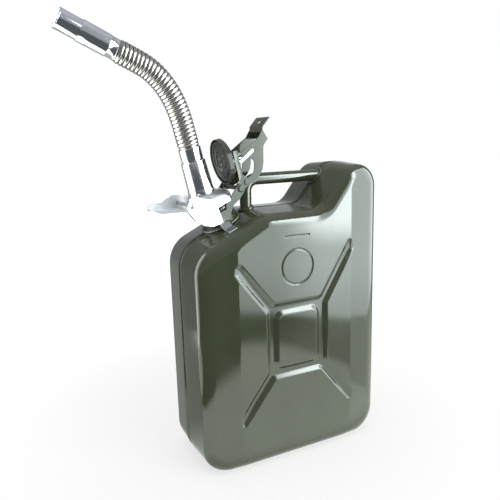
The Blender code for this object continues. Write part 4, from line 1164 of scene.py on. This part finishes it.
class JERRY_OT_lever(JerryOperator, bpy.types.Operator):
    """Finish the closing lever that stands open over the cap"""
    bl_idname = "jerry.lever"
    bl_label = "Closing lever"

    def execute(self, context):
        edged("closing_lever", "lever", enamel("lever_enamel", 0.3, 0.6))
        return {"FINISHED"}


class JERRY_OT_spout(JerryOperator, bpy.types.Operator):
    """Form the spout's foot, its clamp and the base tube"""
    bl_idname = "jerry.spout"
    bl_label = "Spout base and clamp"

    def execute(self, context):
        settle(spout_foot("foot_dome", plated("foot_plate", 0.24, 0.3)), "spout", "spout_foot")
        settle(base_tube("base_tube", plated("tube_plate")), "spout", "spout_tube")
        edged("spout_gasket", "spout", rubber("gasket_rubber"))
        for node in ("clamp_cheek_front", "clamp_cheek_rear"):
            edged(node, "spout", plated(node + "_plate", 0.32, 0.12))
        edged("clamp_pin", "spout", plated("clamp_pin_plate"))
        edged("clamp_lever", "clamp", plated("clamp_lever_plate", 0.40, 0.05))
        return {"FINISHED"}


def ring_points(centre, lean, radius):
    """A circle about a centre in the neck's X-Z plane, its axis turned by lean."""
    points = []
    for angle in turns(circle_steps):
        x = radius * math.cos(angle)
        points.append(neck_frame @ Vector((centre.x + x * math.cos(lean), radius * math.sin(angle),
                                           centre.y - x * math.sin(lean))))
    return points


def spout_foot(name, finish):
    """The domed foot, drawn from a round rim over to the leaning tube."""
    base = neck_length + clearance * 2 + gasket_thickness
    rings = []
    for inset, height in ((0.0006, 0.0), (0.0002, 0.0002), (0.0, 0.0006), (0.0, dome_rim_height - 0.0008)):
        rings.append((Vector((0, base + height)), 0.0, dome_base_radius - inset))
    rise = dome_top_height - base - dome_rim_height
    for k in range(13):
        share = k / 12
        eased = math.sin(share * math.pi / 2)
        centre = Vector((dome_shift * eased, base + dome_rim_height + rise * eased))
        radius = dome_base_radius + (dome_top_radius - dome_base_radius) * share ** 1.3
        rings.append((centre, spout_lean * share, radius))
    outer = [ring_points(*ring) for ring in rings]
    inner = [ring_points(centre, lean, radius - dome_wall) for centre, lean, radius in reversed(rings)]
    return ringed(name, outer + inner, finish, 50.0)


def base_tube(name, finish):
    """The base tube, flared at its foot, with the long joint of its rolled sheet."""
    length = spout_tube_length
    step = length - ferrule_length - clearance
    outer = [(dome_top_radius, clearance), (spout_tube_foot, length * 0.12),
             ((spout_tube_foot + spout_tube_step) / 2, length * 0.4), (spout_tube_step, step - spout_wall),
             (spout_tube_top, step), (spout_tube_top, length)]
    profile = outer + [(radius - spout_wall, height) for radius, height in reversed(outer)]

    def lapped(radius, height, angle):
        gap = abs((angle - joint_angle + math.pi) % math.tau - math.pi)
        return radius - joint_depth * max(0.0, 1 - gap / joint_width) ** 2, height

    return turned(name, softened(profile, tube_rounding), pipe_steps, tube_frame, finish, 40.0, lapped)


def way_at(lean):
    return Vector((math.sin(lean), math.cos(lean)))


def hose_route(count):
    """Even points along the hose: straight out of each end, and one smooth bend between."""
    start_way = way_at(spout_lean - slope)
    end_way = way_at(nozzle_rise - math.pi / 2)
    foot = Vector((tube_frame.translation.x, tube_frame.translation.z))
    start = foot + start_way * (spout_tube_length + clearance)
    first = start + start_way * (2 * hose_radius)
    last = hose_end - end_way * (2 * hose_radius)
    pull = (last - first).length * hose_pull
    grip_a, grip_b = first + start_way * pull, last - end_way * pull
    fine = [start]
    for k in range(241):
        t = k / 240
        fine.append(first * (1 - t) ** 3 + grip_a * (3 * t * (1 - t) ** 2) + grip_b * (3 * t * t * (1 - t))
                    + last * t ** 3)
    fine.append(hose_end.copy())
    lengths = [0.0]
    for a, b in zip(fine, fine[1:]):
        lengths.append(lengths[-1] + (b - a).length)
    points = []
    i = 0
    for k in range(count + 1):
        wanted = lengths[-1] * k / count
        while i < len(fine) - 2 and lengths[i + 1] < wanted:
            i += 1
        points.append(fine[i].lerp(fine[i + 1], (wanted - lengths[i]) / (lengths[i + 1] - lengths[i])))
    return points


class JERRY_OT_hose(JerryOperator, bpy.types.Operator):
    """Wind the flexible metal hose and its lower ferrule"""
    bl_idname = "jerry.hose"
    bl_label = "Hose"

    def execute(self, context):
        samples = 8
        route = hose_route(hose_ribs * samples)
        sides = 36

        def wound(share, angle):
            turn = (share * hose_ribs - angle / math.tau) % 1.0
            crest = math.sqrt(max(0.0, 1 - (2 * turn - 1) ** 2))
            fade = min(1.0, share * hose_ribs, (1 - share) * hose_ribs)
            return hose_root_radius + (hose_radius - hose_root_radius) * crest * fade

        outer = swept(route, sides, wound)
        inner = swept(route[::-samples], sides, lambda share, angle: hose_bore)
        inner = [ring[:1] + ring[:0:-1] for ring in inner]
        hose = ringed("wound_hose", outer + inner, hose_steel("hose_strip"), 80.0)
        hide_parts("hose")
        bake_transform(hose)
        edged("lower_ferrule", "spout", plated("lower_ferrule_plate"))
        return {"FINISHED"}


class JERRY_OT_nozzle(JerryOperator, bpy.types.Operator):
    """Turn the nozzle's sleeve, dented where it is crimped, and the mouth pipe that it holds"""
    bl_idname = "jerry.nozzle"
    bl_label = "Nozzle"

    def execute(self, context):
        bore = mouth_radius - spout_wall
        socket = sleeve_length - mouth_lap
        skin = [(sleeve_foot_radius, clearance), (sleeve_radius - clearance * 2, sleeve_length * 0.2)]
        levels = 30
        skin += [(sleeve_radius, sleeve_length * (0.2 + 0.7 * k / levels)) for k in range(1, levels + 1)]
        skin += [(sleeve_radius, sleeve_length - clearance * 4), (mouth_radius + clearance * 2, sleeve_length)]
        sleeve = skin + [(mouth_radius + clearance, sleeve_length), (mouth_radius + clearance, socket),
                         (bore, socket), (bore, clearance)]

        def dented(radius, height, angle):
            if radius < sleeve_foot_radius:
                return radius, height
            across = ((angle - dent_angle + math.pi) % math.tau - math.pi) * sleeve_radius
            fall = 0.0
            for place, reach, depth in dents:
                fall += depth * math.exp(-(across ** 2 + (height - place) ** 2) / reach ** 2)
            return radius - fall, height

        made = turned("nozzle_sleeve", sleeve, pipe_steps, nozzle_frame, plated("nozzle_plate"), change=dented)
        settle(made, "nozzle", "upper_ferrule", "nozzle_shank")
        rim = rim_length / 4
        low = nozzle_length - rim_length
        pipe = [(bore, socket + clearance), (mouth_radius, socket + clearance), (mouth_radius, low),
                (rim_radius, low + rim), (rim_radius, nozzle_length - rim), (rim_radius - rim, nozzle_length),
                (bore, nozzle_length)]
        made = turned("nozzle_mouth", softened(pipe, rim_length / 5), pipe_steps, nozzle_frame,
                      plated("mouth_plate"))
        settle(made, "nozzle", "nozzle_tip")
        return {"FINISHED"}


class JERRY_PT_dressing(bpy.types.Panel):
    """Lists the dressing's operators and settings"""
    bl_idname = "JERRY_PT_dressing"
    bl_label = "Jerry Can"
    bl_space_type = "VIEW_3D"
    bl_region_type = "UI"
    bl_category = "Jerry Can"

    def draw(self, context):
        layout = self.layout
        for operator in steps:
            layout.operator(operator.bl_idname)
        for title, settings in (("Finishes", context.scene.jerry_look), ("Stage", context.scene.jerry_stage),
                                ("Camera", context.scene.jerry_shot)):
            box = layout.box()
            box.label(text=title)
            for name in settings.bl_rna.properties.keys():
                if name not in {"rna_type", "name"}:
                    box.prop(settings, name)


steps = (JERRY_OT_camera, JERRY_OT_stage, JERRY_OT_body, JERRY_OT_neck, JERRY_OT_handle, JERRY_OT_cap,
         JERRY_OT_lever, JERRY_OT_spout, JERRY_OT_hose, JERRY_OT_nozzle)
classes = (CanLook, StageLook, ShotFrame, *steps, JERRY_PT_dressing)


def register():
    for made in classes:
        bpy.utils.register_class(made)
    bpy.types.Scene.jerry_look = PointerProperty(type=CanLook)
    bpy.types.Scene.jerry_stage = PointerProperty(type=StageLook)
    bpy.types.Scene.jerry_shot = PointerProperty(type=ShotFrame)


def unregister():
    del bpy.types.Scene.jerry_shot
    del bpy.types.Scene.jerry_stage
    del bpy.types.Scene.jerry_look
    for made in reversed(classes):
        bpy.utils.unregister_class(made)


def main():
    register()
    for operator in steps:
        family, name = operator.bl_idname.split(".")
        getattr(getattr(bpy.ops, family), name)()


if __name__ == "__main__":
    main()
